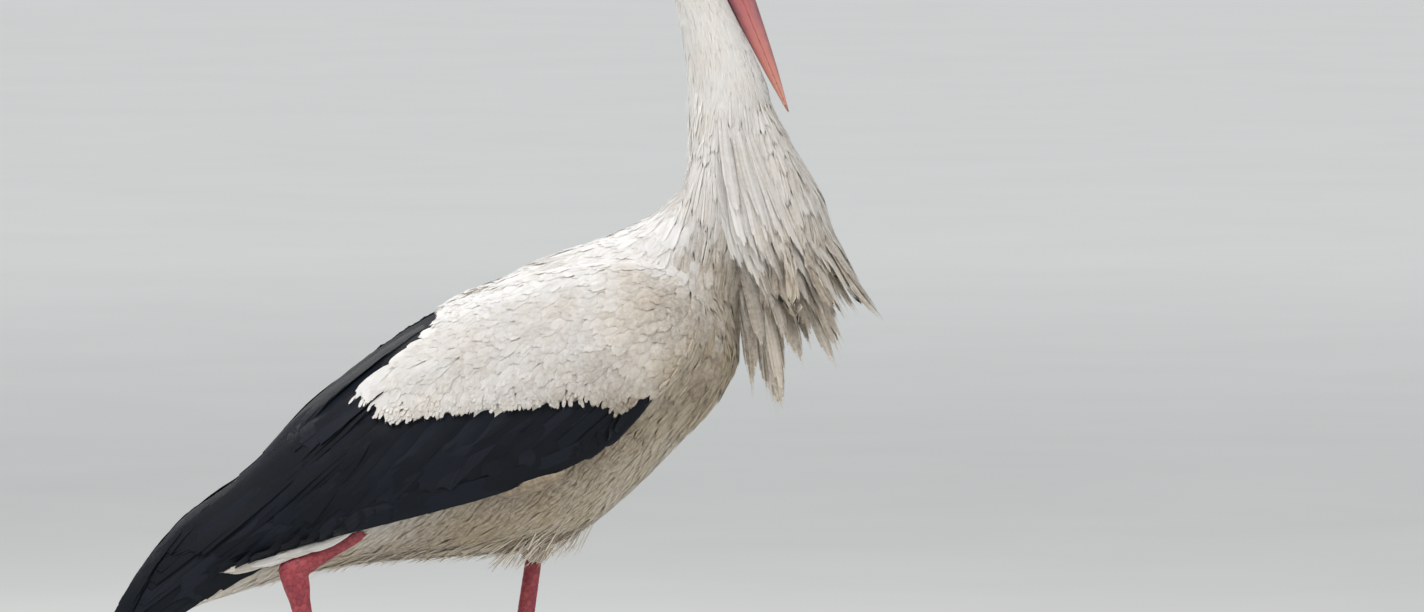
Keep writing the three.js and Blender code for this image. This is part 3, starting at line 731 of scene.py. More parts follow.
PATCH = 0.003  # the size of one feather's patch on the coat's map
BODY_REAR, BODY_LENGTH = -440, 700
NECK_FOOT, NECK_HEIGHT = 0.50, 0.47
ROLL = 3  # how far a feather turns about its own length, in degrees


def body_unwrap(points):
    """The trunk's surface rolled out: round the backbone, and along it."""
    along, side, height = body_places(points)
    round_it = np.arctan2(side, height - 10)
    return np.stack([0.5 + round_it / (2 * math.pi), (along - BODY_REAR) / BODY_LENGTH], 1)


def neck_unwrap(points):
    """The same for the head and neck, round the neck's own middle."""
    round_it = np.arctan2(points[:, 1], -ahead_of_neck(points))
    return np.stack([0.5 + round_it / (2 * math.pi), (points[:, 2] - NECK_FOOT) / NECK_HEIGHT], 1)


def coat(name, batches, nodes=(), unwrap=body_unwrap, material=soft_plumage, slot="white_plumage"):
    """One mesh from batches of (middles, outs, half widths, vanes, markings, draw)."""
    places, faces, maps, patches, normals = [], [], [], [], []
    marks = {key: [] for key in MARKINGS}
    count = 0
    for middles, outs, half_widths, (vanes, roundness), markings, draw in batches:
        tangents = unit(np.gradient(middles, axis=1))
        sides = unit(np.cross(tangents, outs))
        outs = np.cross(sides, tangents)
        roll = np.radians(draw.normal(0, ROLL, len(middles)))[:, None, None]
        sides, outs = sides * np.cos(roll) + outs * np.sin(roll), outs * np.cos(roll) - sides * np.sin(roll)
        half_widths = np.broadcast_to(half_widths, len(middles)) * MM
        kind = draw.integers(0, len(vanes), len(middles))
        lot = draw.random(len(middles))
        for k, (shape, triangles, facing) in enumerate(vanes):
            mine = kind == k
            if not mine.any():
                continue
            wide = half_widths[mine][:, None, None]
            aside, up = along_walk(sides[mine], shape[:, 1]), along_walk(outs[mine], shape[:, 1])
            spots = (aside * shape[:, :1] + up * shape[:, 2:]) * wide
            spots = along_walk(middles[mine], shape[:, 1]) + spots
            curve = (aside * np.clip(shape[:, :1], -1, 1) * roundness)[:, triangles]
            normals.append(unit(up[:, triangles] * facing[:, None, None] + curve).reshape(-1, 3))
            starts = count + np.arange(mine.sum()) * len(shape)
            places.append(spots.reshape(-1, 3))
            faces.append((triangles[None] + starts[:, None, None]).reshape(-1, 3))
            maps.append(np.tile(shape[:, :2], (mine.sum(), 1)))
            patch = PATCH * np.stack([shape[:, 0] / 2, shape[:, 1] - 0.5], 1)
            patches.append((unwrap(middles[mine, 0])[:, None, :] + patch[None]).reshape(-1, 2))
            for key in marks:
                value = lot if key == "lot" else np.broadcast_to(markings[key], len(middles))
                marks[key].append(np.repeat(value[mine], len(shape)))
            count += mine.sum() * len(shape)
    places, faces = np.vstack(places), np.vstack(faces)
    mesh = bpy.data.meshes.new(name)
    mesh.vertices.add(len(places))
    mesh.vertices.foreach_set("co", places.astype(np.float32).ravel())
    mesh.loops.add(faces.size)
    mesh.loops.foreach_set("vertex_index", faces.ravel().astype(np.int32))
    mesh.polygons.add(len(faces))
    mesh.polygons.foreach_set("loop_start", np.arange(0, faces.size, 3, dtype=np.int32))
    mesh.update(calc_edges=True)
    mesh.shade_smooth()
    mesh.normals_split_custom_set(np.vstack(normals).astype(np.float32))
    for layer, table in (("OFBake", np.vstack(patches)), ("Vane", np.vstack(maps))):
        corners = table[faces.ravel()].astype(np.float32)
        mesh.uv_layers.new(name=layer).uv.foreach_set("vector", corners.ravel())
    piece = bpy.data.objects.new(name, mesh)
    bpy.context.scene.collection.objects.link(piece)
    mark(piece, **{key: np.concatenate(value) for key, value in marks.items()})
    return dress(piece, material, slot, *nodes)


def markings(points, ink=0.0, soil=1.0, streak=1.0):
    return {"soil": soil * soil_and_shade_at(points), "streak": streak * streak_and_shade_at(points), "ink": ink}


CLOSING = 0.7  # how far along a plume its strands begin to close


def combed(line, out, half_width, count, draw):
    """The loose barbs of one plume, as slim strands side by side that close to a point."""
    place = np.linspace(-1, 1, count) + draw.normal(0, 0.5 / count, count)
    first = draw.uniform(0, 0.4, count)
    last = 1 - 0.11 * place ** 2 - draw.uniform(0, 0.05, count)
    shares = first[:, None] + (last - first)[:, None] * np.linspace(0, 1, 8)
    stations = np.linspace(0, 1, len(line))
    centre = np.stack([np.interp(shares, stations, line[:, axis]) for axis in range(3)], 2)
    up = unit(np.stack([np.interp(shares, stations, out[:, axis]) for axis in range(3)], 2))
    aside = unit(np.cross(np.gradient(centre, axis=1), up))
    spread = (0.5 + 0.5 * ease(shares, 0, 0.5)) * (1 - 0.82 * ease(shares, CLOSING, 1.02))
    rise = 0.2 * half_width * (1 - place ** 2) + draw.normal(0, 0.2, count)
    offset = aside * ((place * half_width)[:, None] * spread)[:, :, None] + up * rise[:, None, None]
    return centre + offset * MM, unit(up + 0.5 * place[:, None, None] * aside)


def locks(middles, outs, half_widths, count, draw, soil=1.0, streak=1.0):
    """Many plumes combed at once: the strands, their ways out and their markings. A lock is clean along its
    ridge and painted darker down in the partings, as the shade between locks, and some locks are more
    streaked than others."""
    pairs = [combed(line, out, half, count, draw) for line, out, half in zip(middles, outs, half_widths)]
    lines, ups = np.vstack([pair[0] for pair in pairs]), np.vstack([pair[1] for pair in pairs])
    marks = markings(lines[:, 4], soil=soil)
    # Painted shade: the strands at a lock's sides are greyed, as the shade in the partings between locks.
    parting_shade = np.tile(np.abs(np.linspace(-1, 1, count)) ** 1.5, len(pairs))
    own = np.repeat(draw.uniform(0.3, 1.3, len(pairs)), count)
    marks["streak"] = np.clip(streak * (streak_and_shade_at(lines[:, 4]) * own + 0.35 * parting_shade), 0, 1)
    return lines, ups, marks


# %% [markdown]
# ## The head and neck
# Feathers are smallest round the bill and grow longer down the neck: less than a millimetre apart on the
# face, and two millimetres above the ruff. A bare patch stays free round each eye.

# %% Coat the head and the upper neck
PATCH_RADIUS = 8.4
HAIRS_OVER_PATCH = 0.7  # how far the hairs reach in over the patch's edge
HEAD_FROM = 0.868
NECK_FROM, NECK_TO = 0.742, 0.89


def patch_reach(angle):
    """The edge of the bare black patch, in millimetres from the eye. It is drawn out to a point ahead, and to
    a blunt one behind."""
    ahead, behind = np.clip(-np.cos(angle), 0, 1), np.clip(np.cos(angle), 0, 1)
    return PATCH_RADIUS * (1 + 1.15 * ahead ** 5 + 0.22 * behind ** 4)


def bare_face(points):
    back, side, up = head_places(points)
    eye_back, _, eye_up = head_places(EYE_MIDDLES["left"])
    away = np.hypot(back - eye_back, up - eye_up)
    reach = patch_reach(np.arctan2(up - eye_up, back - eye_back))
    return (away < reach - HAIRS_OVER_PATCH) & (np.abs(side) > 6)


def head_region(points, out):
    return (head_places(points)[0] > 1) & (points[:, 2] > HEAD_FROM) & ~bare_face(points)


def neck_region(points, out):
    return (points[:, 2] > NECK_FROM) & (points[:, 2] < NECK_TO)


draw = np.random.default_rng(1)
roots = scattered(body, lambda p: 0.75 + 0.008 * np.clip(head_places(p)[0], 0, 60), head_region, 101)
back = head_places(roots)[0]
length = 4.0 + 0.12 * np.clip(back, 0, 60)
middles, outs = lay(body, roots, draw, (length, 0.6), (0.05, 0.2), steps=3, wander=9, depth=0.7, hold=4)
clear = ~np.any([bare_face(middles[:, k]) for k in range(1, 4)], 0)
halves = (0.48 + 0.004 * back)[clear]
coat("coat_head", [(middles[clear], outs[clear], halves, HAIRS, markings(roots[clear]), draw)],
     unwrap=neck_unwrap)

roots = scattered(body, lambda p: 1.4 + 0.7 * ease(-p[:, 2], -0.86, -0.76), neck_region, 102)
lower = ease(-roots[:, 2], -0.87, -0.74)
lengths = (13 + 13 * lower) * (1 + 0.12 * draw.normal(0, 1, len(roots)))
lifts = 0.12 * draw.random(len(roots))
middles, outs = walk(body, roots, lengths, draw, steps=4, wander=5, depth=0.8, lift=lifts, hold=5)
coat("coat_neck", [(middles, outs, 0.8 + 0.35 * lower, HAIRS, markings(roots), draw)], unwrap=neck_unwrap)

# %% [markdown]
# ## The trunk
# The lower neck, breast, flanks and belly wear slim soft strands, and long wisps hang from the belly and
# round the left leg, where short strands sheathe the thigh. The mantle is of broad leaves, laid on the form
# of the whole bird, so that it runs on over the wings' inner edges.

# %% Coat the lower neck and the trunk
LOWER_NECK_FROM, LOWER_NECK_TO = 0.585, 0.75
NAPE_FROM = 0.685
TRUNK_TOP, MANTLE_TOP = 0.62, 0.655
THIGH_MIDDLE, THIGH_REACH, THIGH_TOP = (0.012, 0.036), 0.034, 0.374
HEM_REAR, HEM_FRONT, HEM_TOP = -0.008, 0.085, 0.395


def lower_neck_region(points, out):
    level = points[:, 2]
    return (level > LOWER_NECK_FROM) & (level <= LOWER_NECK_TO) & (body_places(points)[0] > 50)


def nape_region(points):
    return (ahead_of_neck(points) < -0.022) & (points[:, 2] > NAPE_FROM)


def shoulder(points):
    along, side, height = body_places(points)
    broad = (np.abs(side) > 34) & (along > 88) & (along < 196)
    return broad & (height > -52) & (points[:, 2] < TRUNK_TOP)


def mantle_region(points, out):
    along, side, height = body_places(points)
    near_middle = (np.abs(side) < 30 + 0.1 * np.clip(along, 0, 200)) & (height > 70)
    upper_back = (along > 16) & (along < 196) & (points[:, 2] < MANTLE_TOP)
    return upper_back & (near_middle | (shoulder(points) & ~on_wings(points)))


def thigh_region(points, out):
    near = np.hypot(*(points[:, :2] - THIGH_MIDDLE).T) < THIGH_REACH
    return (points[:, 2] < THIGH_TOP) & near


def trunk_region(points, out):
    along, side, height = body_places(points)
    under_wing = (np.abs(side) > 50) & (above_fringe(points) > -25) & (along < 60)
    elsewhere = thigh_region(points, out) | shoulder(points)
    return (points[:, 2] <= TRUNK_TOP) & ~under_wing & (along > -325) & (height < 88) & ~elsewhere


def belly_line(points, out):
    along = body_places(points)[0]
    return (out @ DOWN > 0.8) & (along > -250) & (along < 120) & trunk_region(points, out)


def hem_region(points, out):
    """Before and round the left leg, where the belly's longest feathers hang down."""
    near_leg = (points[:, 0] > HEM_REAR) & (points[:, 0] < HEM_FRONT) & (points[:, 2] < HEM_TOP)
    return (out @ DOWN > 0.78) & near_leg & trunk_region(points, out)


def straight_down(points):
    return DOWN - 0.25 * BACKBONE + 0 * points


draw = np.random.default_rng(2)
roots = scattered(body, 2.65, lower_neck_region, 103)
lines = lay(body, roots, draw, (30, 5), (0.1, 0.25), steps=6, wander=6, depth=1.2)
batches = [(*lines, 1.2, HAIRS, markings(roots), draw)]
napes = roots[nape_region(roots)][::3]
lines = lay(body, napes, draw, (30, 4), (1, 4), steps=6, wander=10, depth=1.5, bow=1.3)
batches.append((*lines, 1.2, HAIRS, markings(napes), draw))
coat("coat_lower_neck", batches, unwrap=neck_unwrap)

roots = scattered(body, 3.0, trunk_region, 104)
hem = scattered(body, 5.0, hem_region, 110)
wisps = scattered(body, 6.0, belly_line, 108)
thighs = scattered(body, 2.6, thigh_region, 106)
for side, turn in TURN.items():
    mine = roots[turn * roots[:, 1] >= 0]
    lines = lay(body, mine, draw, (30, 5), (0.1, 0.8), steps=4, wander=11, depth=2.4)
    batches = [(*lines, 1.3 + 0.7 * draw.random(len(mine)), HAIRS, markings(mine), draw)]
    mine = wisps[turn * wisps[:, 1] >= 0]
    shaggy = 1 + 1.3 * np.exp(-((body_places(mine)[0] - 20) / 60) ** 2)
    lengths = 26 * shaggy ** 0.5 + draw.normal(0, 5, len(mine))
    lifts = (2 + 5 * draw.random(len(mine))) * shaggy
    lines = walk(body, mine, lengths, draw, steps=6, wander=16, depth=1.0, lift=lifts, bow=1.8)
    batches.append((*lines, 1.3, LANCES, markings(mine), draw))
    if side == "left":
        lengths = 16 + draw.normal(0, 3, len(thighs))
        lines = walk(body, thighs, lengths, draw, steps=6, wander=7, depth=1.5, lift=2.6, bow=1.0,
                     heading=straight_down, hold=1.0)
        batches.append((*lines, 1.3, LANCES, markings(thighs), draw))
    mine = hem[turn * hem[:, 1] >= 0]
    lines = lay(body, mine, draw, (24, 7), (12, 7), steps=6, wander=16, depth=0.5, bow=1.1)
    batches.append((*lines, 1.2, LANCES, markings(mine, soil=0.8, streak=0.8), draw))
    coat(f"coat_trunk_{side}", batches)

roots = scattered(whole, 5.7, mantle_region, 107)
lines = lay(whole, roots, draw, (40, 5), (0.5, 0.3), steps=6, wander=7, depth=1.6)
widths = 5.4 + 1.6 * draw.random(len(roots))
coat("coat_mantle", [(*lines, widths, LEAVES, markings(roots), draw)])

# %% [markdown]
# ## The ruff
# From the middle of the neck down, the feathers part into locks: slim plumes whose barbs cling together.
# Short locks lie on the neck and breast like shingles. The long ones hang free in front and fan out. They
# are laid on a curved sheet between the ruff's rear and front edges, bowed round to each side, and drawn
# from the throat to their tips.

# %% Locks on the neck and breast
FAN_ROOT = np.array([0.178, 0, 0.81])
THROAT_FROM, THROAT_TO, THROAT_REAR = 0.59, 0.735, 0.12
BREAST_FROM, BREAST_TO = 0.47, 0.605
THROAT_STRANDS = BREAST_STRANDS = 7


def fan_lie(places, out):
    """The ruff fans out from a place high in the neck; below it the breast takes over."""
    fan = unit((places - FAN_ROOT) * [1, 0.6, 1])
    low = ease(-places[:, 2], -0.60, -0.54)[:, None] * (places[:, :1] < 0.2)
    return fan * (1 - low) + body_lie(places, out) * low


ruff_form = Form(rounded_form(merged_copy("ruff_form", *BODY_NODES, "breast_plumes"), 2.8, 12), fan_lie, 20)


def throat_region(points, out):
    level = points[:, 2]
    in_front = (ahead_of_neck(points) > -0.026) & (points[:, 0] > THROAT_REAR)
    return in_front & (level > THROAT_FROM) & (level < THROAT_TO)


def breast_region(points, out):
    level = points[:, 2]
    in_front = (body_places(points)[0] > 96) & ~on_wings(points)
    return in_front & (level > BREAST_FROM) & (level <= BREAST_TO)


draw = np.random.default_rng(5)
roots = scattered(ruff_form, lambda p: 5.0 + 2.0 * ease(-p[:, 2], -0.73, -0.66), throat_region, 105)
lower = ease(-roots[:, 2], -0.735, -0.66)
length = 34 + 16 * lower
middles, outs = lay(ruff_form, roots, draw, (length, 5), (0.1, 0.4), steps=8, wander=5, depth=1.2)
kept = ruff_form.touch(middles[:, -1])[3] < 4 * MM
halves = (2.6 + 1.6 * lower)[kept] * draw.uniform(0.8, 1.2, kept.sum())
lines, ups, marks = locks(middles[kept], outs[kept], halves, THROAT_STRANDS, draw, soil=0.7, streak=0.8)
throat = (lines, ups, 0.95, HAIRS, marks, draw)
downy = scattered(ruff_form, 5.0, throat_region, 111)
lines = walk(ruff_form, downy, 26, draw, steps=5, wander=6, depth=2.6, lift=-1.2)
down = (*lines, 3.0, LANCES, markings(downy, soil=0.7, streak=0.6), draw)

roots = scattered(body, 7.5, breast_region, 109)
middles, outs = lay(body, roots, draw, (44, 7), (0.4, 1.2), steps=8, wander=9, depth=1.8)
lines, ups, marks = locks(middles, outs, 4.0 * draw.uniform(0.8, 1.2, len(roots)), BREAST_STRANDS, draw)
breast = (lines, ups, 1.05, HAIRS, marks, draw)
coat("throat", [throat, down], unwrap=neck_unwrap)
coat("breast_locks", [breast])

# %% The ruff's hanging sheet
DOWN_SHARES = [0, 0.16, 0.32, 0.42, 0.58, 0.72, 0.84, 1.0, 1.2]
# The front and rear edges, forward and up, and the half width from side to side, all at those shares.
FRONT_EDGE = np.array([(207, 735), (224, 701), (244, 668), (256, 647), (264, 618), (277, 594), (288, 572),
                       (304, 548), (324, 518)])
REAR_EDGE = np.array([(164, 735), (166, 700), (168, 664), (171, 640), (178, 604), (187, 570), (194, 532),
                      (197, 490), (198, 440)])
RUFF_HALF = [30, 36, 40, 42, 46, 49, 51, 52, 54]
RUFF_TUCK = [1, 1, 1, 0.98, 0.74, 0.5, 0.5, 0.6, 0.6]  # how far the rear edge is drawn in to the breast


def on_ruff(forward, down, layer, turn):
    """Places on the sheet, and the way out of it. Forward is 0 at the rear edge and 1 at the front."""
    forward = np.clip(forward, 0, 1)
    x, z = (np.interp(down, DOWN_SHARES, REAR_EDGE[:, axis]) * (1 - forward)
            + np.interp(down, DOWN_SHARES, FRONT_EDGE[:, axis]) * forward for axis in (0, 1))
    tucked = 1 - (1 - np.interp(down, DOWN_SHARES, RUFF_TUCK)) * ease(-forward, -0.3, 0.05)
    y = turn * np.interp(down, DOWN_SHARES, RUFF_HALF) * np.sqrt(1 - forward ** 2.2) * layer * tucked
    back = 0.9 * (1 - tucked)
    out = np.stack([0.15 + forward - back, turn * np.sqrt(1 - forward), 0.1 + 0 * x], 1)
    return np.stack([x, y, z], 1) * MM, unit(out)


# %% Hanging plumes
PLUMES = [
    # how far forward, how far down the tip is, which layer (1 is the outermost), half width: the long ones
    (1.00, 1.00, 1.00, 5.0), (0.94, 0.88, 0.90, 5.0), (0.86, 0.92, 0.60, 5.2), (0.78, 0.90, 0.95, 5.0),
    (0.70, 1.00, 0.50, 4.6), (0.66, 1.04, 0.80, 4.6), (0.58, 1.08, 0.40, 6.0), (0.50, 0.93, 0.90, 5.5),
    (0.46, 0.96, 0.30, 5.0), (0.37, 1.00, 0.65, 6.0), (0.30, 0.93, 0.92, 5.5), (0.26, 0.92, 0.40, 5.0),
    (0.19, 1.12, 0.55, 5.6), (0.12, 0.90, 0.85, 6.0), (0.06, 0.88, 0.45, 5.5), (0.00, 1.00, 0.70, 6.0),
    # and the shorter ones over them
    (0.92, 0.72, 1.00, 4.6), (0.82, 0.76, 1.05, 5.0), (0.72, 0.78, 1.05, 5.0), (0.55, 0.83, 1.06, 6.0),
    (0.46, 0.70, 1.08, 5.5), (0.38, 0.75, 1.08, 6.0), (0.28, 0.66, 1.08, 5.5), (0.20, 0.74, 1.05, 6.0),
    (0.12, 0.60, 1.08, 6.0), (0.04, 0.66, 1.06, 6.5), (0.62, 0.62, 1.08, 5.0), (0.33, 0.56, 1.08, 5.5),
    (0.99, 0.62, 1.00, 4.6), (0.97, 0.78, 0.90, 4.6), (1.00, 0.86, 0.60, 4.6), (0.97, 0.50, 1.00, 4.6),
]
# A few clean, fluffed ones stand out at the breast.
CLEAN_PLUMES = [(0.02, 0.62, 1.12, 5.5), (0.07, 0.66, 1.12, 6.0), (0.12, 0.61, 1.10, 5.0)]
RUFF_STRANDS = 9
SHORTER = [0.78, 0.86, 0.93]  # the looser copies, as shares of the main one


def hanging(plumes, copies, draw, shortest=0.5):
    """Plumes from a table. Each is a main one to the tip and a few shorter, looser ones beside it."""
    middles, outs, halves = [], [], []
    for forward, end, layer, half_width in plumes:
        for turn in (1, -1):
            for k in range(copies):
                near = 0.25 if k == 0 else 1
                tip = 1.06 * end * (1 if k == 0 else draw.choice(SHORTER) + draw.normal(0, 0.02))
                start = max(0.0, tip - draw.uniform(shortest, 1.3 * shortest))
                share = np.linspace(0, 1, 12)
                mine = forward + near * draw.normal(0, 0.04)
                curl = near * draw.normal(0, 0.03)
                depth = (layer + near * draw.normal(0, 0.06)) * (0.8 + 0.2 * share ** 0.7)
                line, out = on_ruff(mine * (0.86 + 0.14 * share ** 0.7) + curl * share ** 2,
                                    start + (tip - start) * share, depth, turn)
                line[:, 1] += turn * MM * (3 * forward + near * draw.normal(0, 2.0)) * share
                middles.append(line)
                outs.append(out)
                halves.append(half_width * (0.95 if k == 0 else draw.uniform(0.6, 0.9)))
    return np.array(middles), np.array(outs), halves


draw = np.random.default_rng(6)
lines, ups, marks = locks(*hanging(PLUMES, 5, draw), RUFF_STRANDS, draw, soil=0.5, streak=0.75)
batches = [(lines, ups, 1.3, LANCES, marks, draw)]
lines, ups, marks = locks(*hanging(CLEAN_PLUMES, 2, draw, 0.4), RUFF_STRANDS, draw, soil=0, streak=0.1)
batches.append((lines, ups, 1.3, LANCES, marks, draw))
coat("ruff", batches, ["breast_plumes"], unwrap=neck_unwrap)

# %% [markdown]
# ## The wings
# The black quills come first, as they lie deepest: the long primaries, the secondaries over them, a row of
# black coverts over those, and the broad tertials on top. Each quill walks from its root to its tip, both
# given on the body's side, and each one in a row lies a little higher than the one before it.

# %% Lay the quills
def on_wing(side, along, height):
    """A place on the outside of a wing, found by looking at it from the side."""
    turn = TURN[side]
    start = on_body(along, turn * 200, height)
    hit = wings[side].tree.ray_cast(start, -turn * LEFT)[0]
    return np.array(hit) if hit is not None else on_body(along, turn * 20, height)


def quill(side, start, reach, root_depth, tip_depth, half_width, heading, draw):
    """One quill as a batch. It rises from one depth in the wing to another, and keeps to the wing's form."""
    lines = walk(wings[side], start, reach, draw, steps=18, wander=0, depth=root_depth, lift=-tip_depth,
                 bow=0.5, heading=heading, hold=2.5)
    return *lines, half_width, STRAPS, markings(start, ink=1.0), draw


def quills(side, rows, draw):
    """Batches from rows of (count, first and last root, first and last tip, half width, depth, step up)."""
    batches = []
    for count, root_a, root_b, tip_a, tip_b, half_width, depth, step_up in rows:
        for i in range(count):
            share = i / max(count - 1, 1)
            root = np.array(root_a) * (1 - share) + np.array(root_b) * share
            tip = np.array(tip_a) * (1 - share) + np.array(tip_b) * share
            tip = tip + draw.normal(0, 2.0, 2)
            start = on_wing(side, *root)[None]
            reach = np.hypot(*(tip - root))

            def heading(points, root=root, tip=tip):
                along, _, height = body_places(points)
                aim = tip + (tip - root) * 0.15
                return unit(((aim[0] - along) * BACKBONE[:, None] + (aim[1] - height) * UPRIGHT[:, None]).T)

            here = depth - step_up * i
            batches.append(quill(side, start, reach, here + 3.0, here, half_width, heading, draw))
    return batches


# The wing's outline from the side, along and up: its upper edge and its lower one.
WING_TOP = np.array([[-425, 6], [-390, 27], [-378, 36], [-354, 50], [-326, 60], [-312, 69], [-292, 73],
                     [-275, 77], [-216, 82], [-190, 90], [-135, 108], [-84, 113], [-16, 118], [40, 140]])
WING_LOW = np.array([[-300, -14], [-249, 6], [-199, -6], [-145, -21], [-77, -40], [-25, -51], [5, -57],
                     [28, -58], [54, -56], [78, -48], [96, -40], [108, -34], [116, -24], [124, -10]])
LOOK_AHEAD = 25


def edge_quills(side, edge, inset, starts, length, half_width, depth, draw):
    """Quills along an edge of the wing, each one over the tip of the next, so that the edge is smooth."""
    batches = []
    for along in starts:
        start = on_wing(side, along, np.interp(along, *edge.T) + inset)[None]

        def heading(points):
            here, _, height = body_places(points)
            rise = np.interp(here - LOOK_AHEAD, *edge.T) + inset - height
            return unit(rise[:, None] * UPRIGHT - LOOK_AHEAD * BACKBONE)

        batches.append(quill(side, start, length, depth + 1.0, depth, half_width, heading, draw))
    return batches


TOP_FREE, LOW_FREE = -415, -250  # behind these places, along the wing, the tips stay free
PRESSING = 0.88  # the share of its way back that a tip is pressed


def pressed(piece):
    """Tips that stand out past the wing's outline are pressed back to it."""
    places = vertices_of(piece)
    along, _, height = body_places(places)
    over = np.maximum(height - np.interp(along, *WING_TOP.T), 0) * (along > TOP_FREE)
    under = np.maximum(np.interp(along, *WING_LOW.T) - height, 0) * (along > LOW_FREE)
    place_vertices(piece, places + UPRIGHT * (PRESSING * (under - over) * MM)[:, None])


QUILLS = [
    # primaries, by the wing tip
    (9, (-130, 8), (-120, 45), (-345, 2), (-422, 6), 10.0, 5.0, 0.30),
    # the last primaries and the long inner quills, up to the ridge
    (10, (-120, 50), (-100, 84), (-432, 14), (-366, 54), 11.0, 3.2, 0.18),
    # secondaries, out to the long lower edge
    (24, (112, -28), (-110, 52), (-58, -40), (-350, 10), 12.5, 3.2, 0.08),
    # the front corner of the wing's edge
    (8, (110, -26), (64, -22), (58, -60), (-26, -50), 10.0, 2.2, 0.06),
    # black coverts, half as long
    (16, (100, -34), (-128, 66), (20, -48), (-235, 24), 11.0, 1.8, 0.05),
    # tertials, over the rump
    (9, (-84, 64), (-50, 96), (-300, 30), (-330, 52), 14.0, 1.8, 0.12),
    (7, (-88, 78), (-48, 99), (-160, 66), (-200, 84), 13.0, 1.4, 0.12),
]
for side, seed in (("left", 201), ("right", 202)):
    draw = np.random.default_rng(seed)
    rows = quills(side, QUILLS, draw)
    rows += edge_quills(side, WING_LOW, 8.0, range(-150, 101, 25), 95, 9.0, 1.6, draw)
    rows += edge_quills(side, WING_TOP, -8.0, range(-345, -264, 16), 82, 8.0, 0.8, draw)
    rows += edge_quills(side, WING_TOP, -9.0, range(-230, -39, 27), 105, 9.5, 1.2, draw)
    nodes = [f"wing_{side}_secondaries", f"wing_{side}_primaries"]
    pressed(coat(f"quills_{side}", rows, nodes, material=quill_plumage, slot="black_plumage"))

# %% [markdown]
# The white coverts lie over the quills. A feather is kept only where its tip ends inside the white area, so
# the ragged lower edge comes from the tips themselves.

# %% Coat the wings in white
# The edges of the white area from the side, along and up: the ragged lower one and the one over the rump.
WHITE_REAR = -127
COVERT_EDGE = np.array([[WHITE_REAR, 80], [-106, 52], [-43, 27], [4, 6], [52, -21], [60, -36], [94, -38],
                        [104, -80]])
RUMP_EDGE = np.array([[WHITE_REAR, 85], [-100, 90], [-68, 95], [-40, 101], [-18, 109], [-8, 120], [0, 140]])
TIP_SLACK = 3  # how far a tip may pass those edges


def in_white(points, slack):
    along, _, height = body_places(points)
    low, high = np.interp(along, *COVERT_EDGE.T), np.interp(along, *RUMP_EDGE.T)
    return (height > low - slack) & (height < high + slack) & (along > WHITE_REAR - 0.5 * slack)


def covert_region(points, out):
    return in_white(points, 0) & on_wings(points)


def fringe_region(points, out):
    """A strip just above the ragged lower edge."""
    along, _, height = body_places(points)
    above = height - np.interp(along, *COVERT_EDGE.T)
    return (above > 3) & (above < 19) & (along < 92) & covert_region(points, out)


def covert_layer(side, spacing, region, seed, draw, half_width, kind, length, lift, rise, **how):
    """One layer of a wing's white feathers, which rise a little more at the rear."""
    roots = scattered(whole, spacing, region, seed)
    roots = roots[TURN[side] * roots[:, 1] > 0]
    rise = rise * ease(-body_places(roots)[0], 60, 110)
    middles, outs = lay(whole, roots, draw, length, lift, rise, steps=5, **how)
    kept = in_white(middles[:, -1], TIP_SLACK)
    half_widths = half_width[0] + half_width[1] * draw.random(kept.sum())
    return middles[kept], outs[kept], half_widths, kind, markings(roots[kept]), draw


for side, seed in (("left", 301), ("right", 302)):
    draw = np.random.default_rng(seed)
    broad = covert_layer(side, 4.7, covert_region, seed, draw, (4.6, 1.6), LEAVES, length=(32, 5),
                         lift=(0.7, 0.4), rise=1.3, wander=9, depth=1.4)
    fringe = covert_layer(side, 2.3, fringe_region, seed + 20, draw, (1.4, 0.6), LANCES, length=(13, 3),
                          lift=(1.2, 0.6), rise=1.2, wander=12, depth=1.2)
    coat(f"coverts_{side}", [broad, fringe])

# %% [markdown]
# ## Loose tufts
# Where the coat's parts meet, a few longer feathers hang out: white ones along the wing's lower rear edge,
# a cream tuft of the flank over the black, and down under the belly. Each tuft is a fan of slim strands.

# %% Tufts
SAG = 3.0


def tuft(root, tip, out, half_width, count, draw):
    """Strands from near one place to near another, sagging a little between them."""
    share = np.linspace(0, 1, 9)[:, None]
    reach = tip - root
    line = root + reach * share + DOWN * SAG * MM * np.sin(np.pi * share) - reach * 0.02
    return combed(line, np.broadcast_to(unit(out), line.shape), half_width, count, draw)


TUFTS = [
    # root and tip in the body's own directions (along, side, height), half width, strands, soil
    ((4, 78, -57), (-46, 77, -46), 5.0, 18, 1.2),
    ((-14, 79, -54), (-60, 74, -45), 3.5, 12, 1.3),
    ((-176, 57, -12), (-226, 54, -5), 2.6, 12, 0.0),
    ((-192, 55, -9), (-250, 51, 2), 3.0, 14, 0.1),
    ((-214, 53, -5), (-274, 47, 7), 3.0, 14, 0.0),
    ((-234, 50, -1), (-296, 44, 14), 3.0, 14, 0.3),
    ((-72, 24, -70), (-106, 30, -74), 5.0, 16, 0.1),
    ((-50, 20, -74), (-84, 26, -84), 4.0, 12, 0.2),
]
draw = np.random.default_rng(8)
batches = []
for turn in TURN.values():
    for *places, half_width, count, soil in TUFTS:
        ends = [on_body(along, turn * side, height) for along, side, height in places]
        lines, outs = tuft(*ends, turn * LEFT - 0.2 * UPRIGHT, half_width, count, draw)
        marks = {"soil": soil, "streak": 0.1 + 0.8 * soil, "ink": 0.0}
        batches.append((lines, outs, 1.1, LANCES, marks, draw))
coat("loose_tufts", batches)

# %% [markdown]
# ## The tail
# A white stork's tail is white, short and square, and folded it lies under the wing tips. Twelve feathers
# are laid one over the other in a narrow fan, straight back from under the rump.

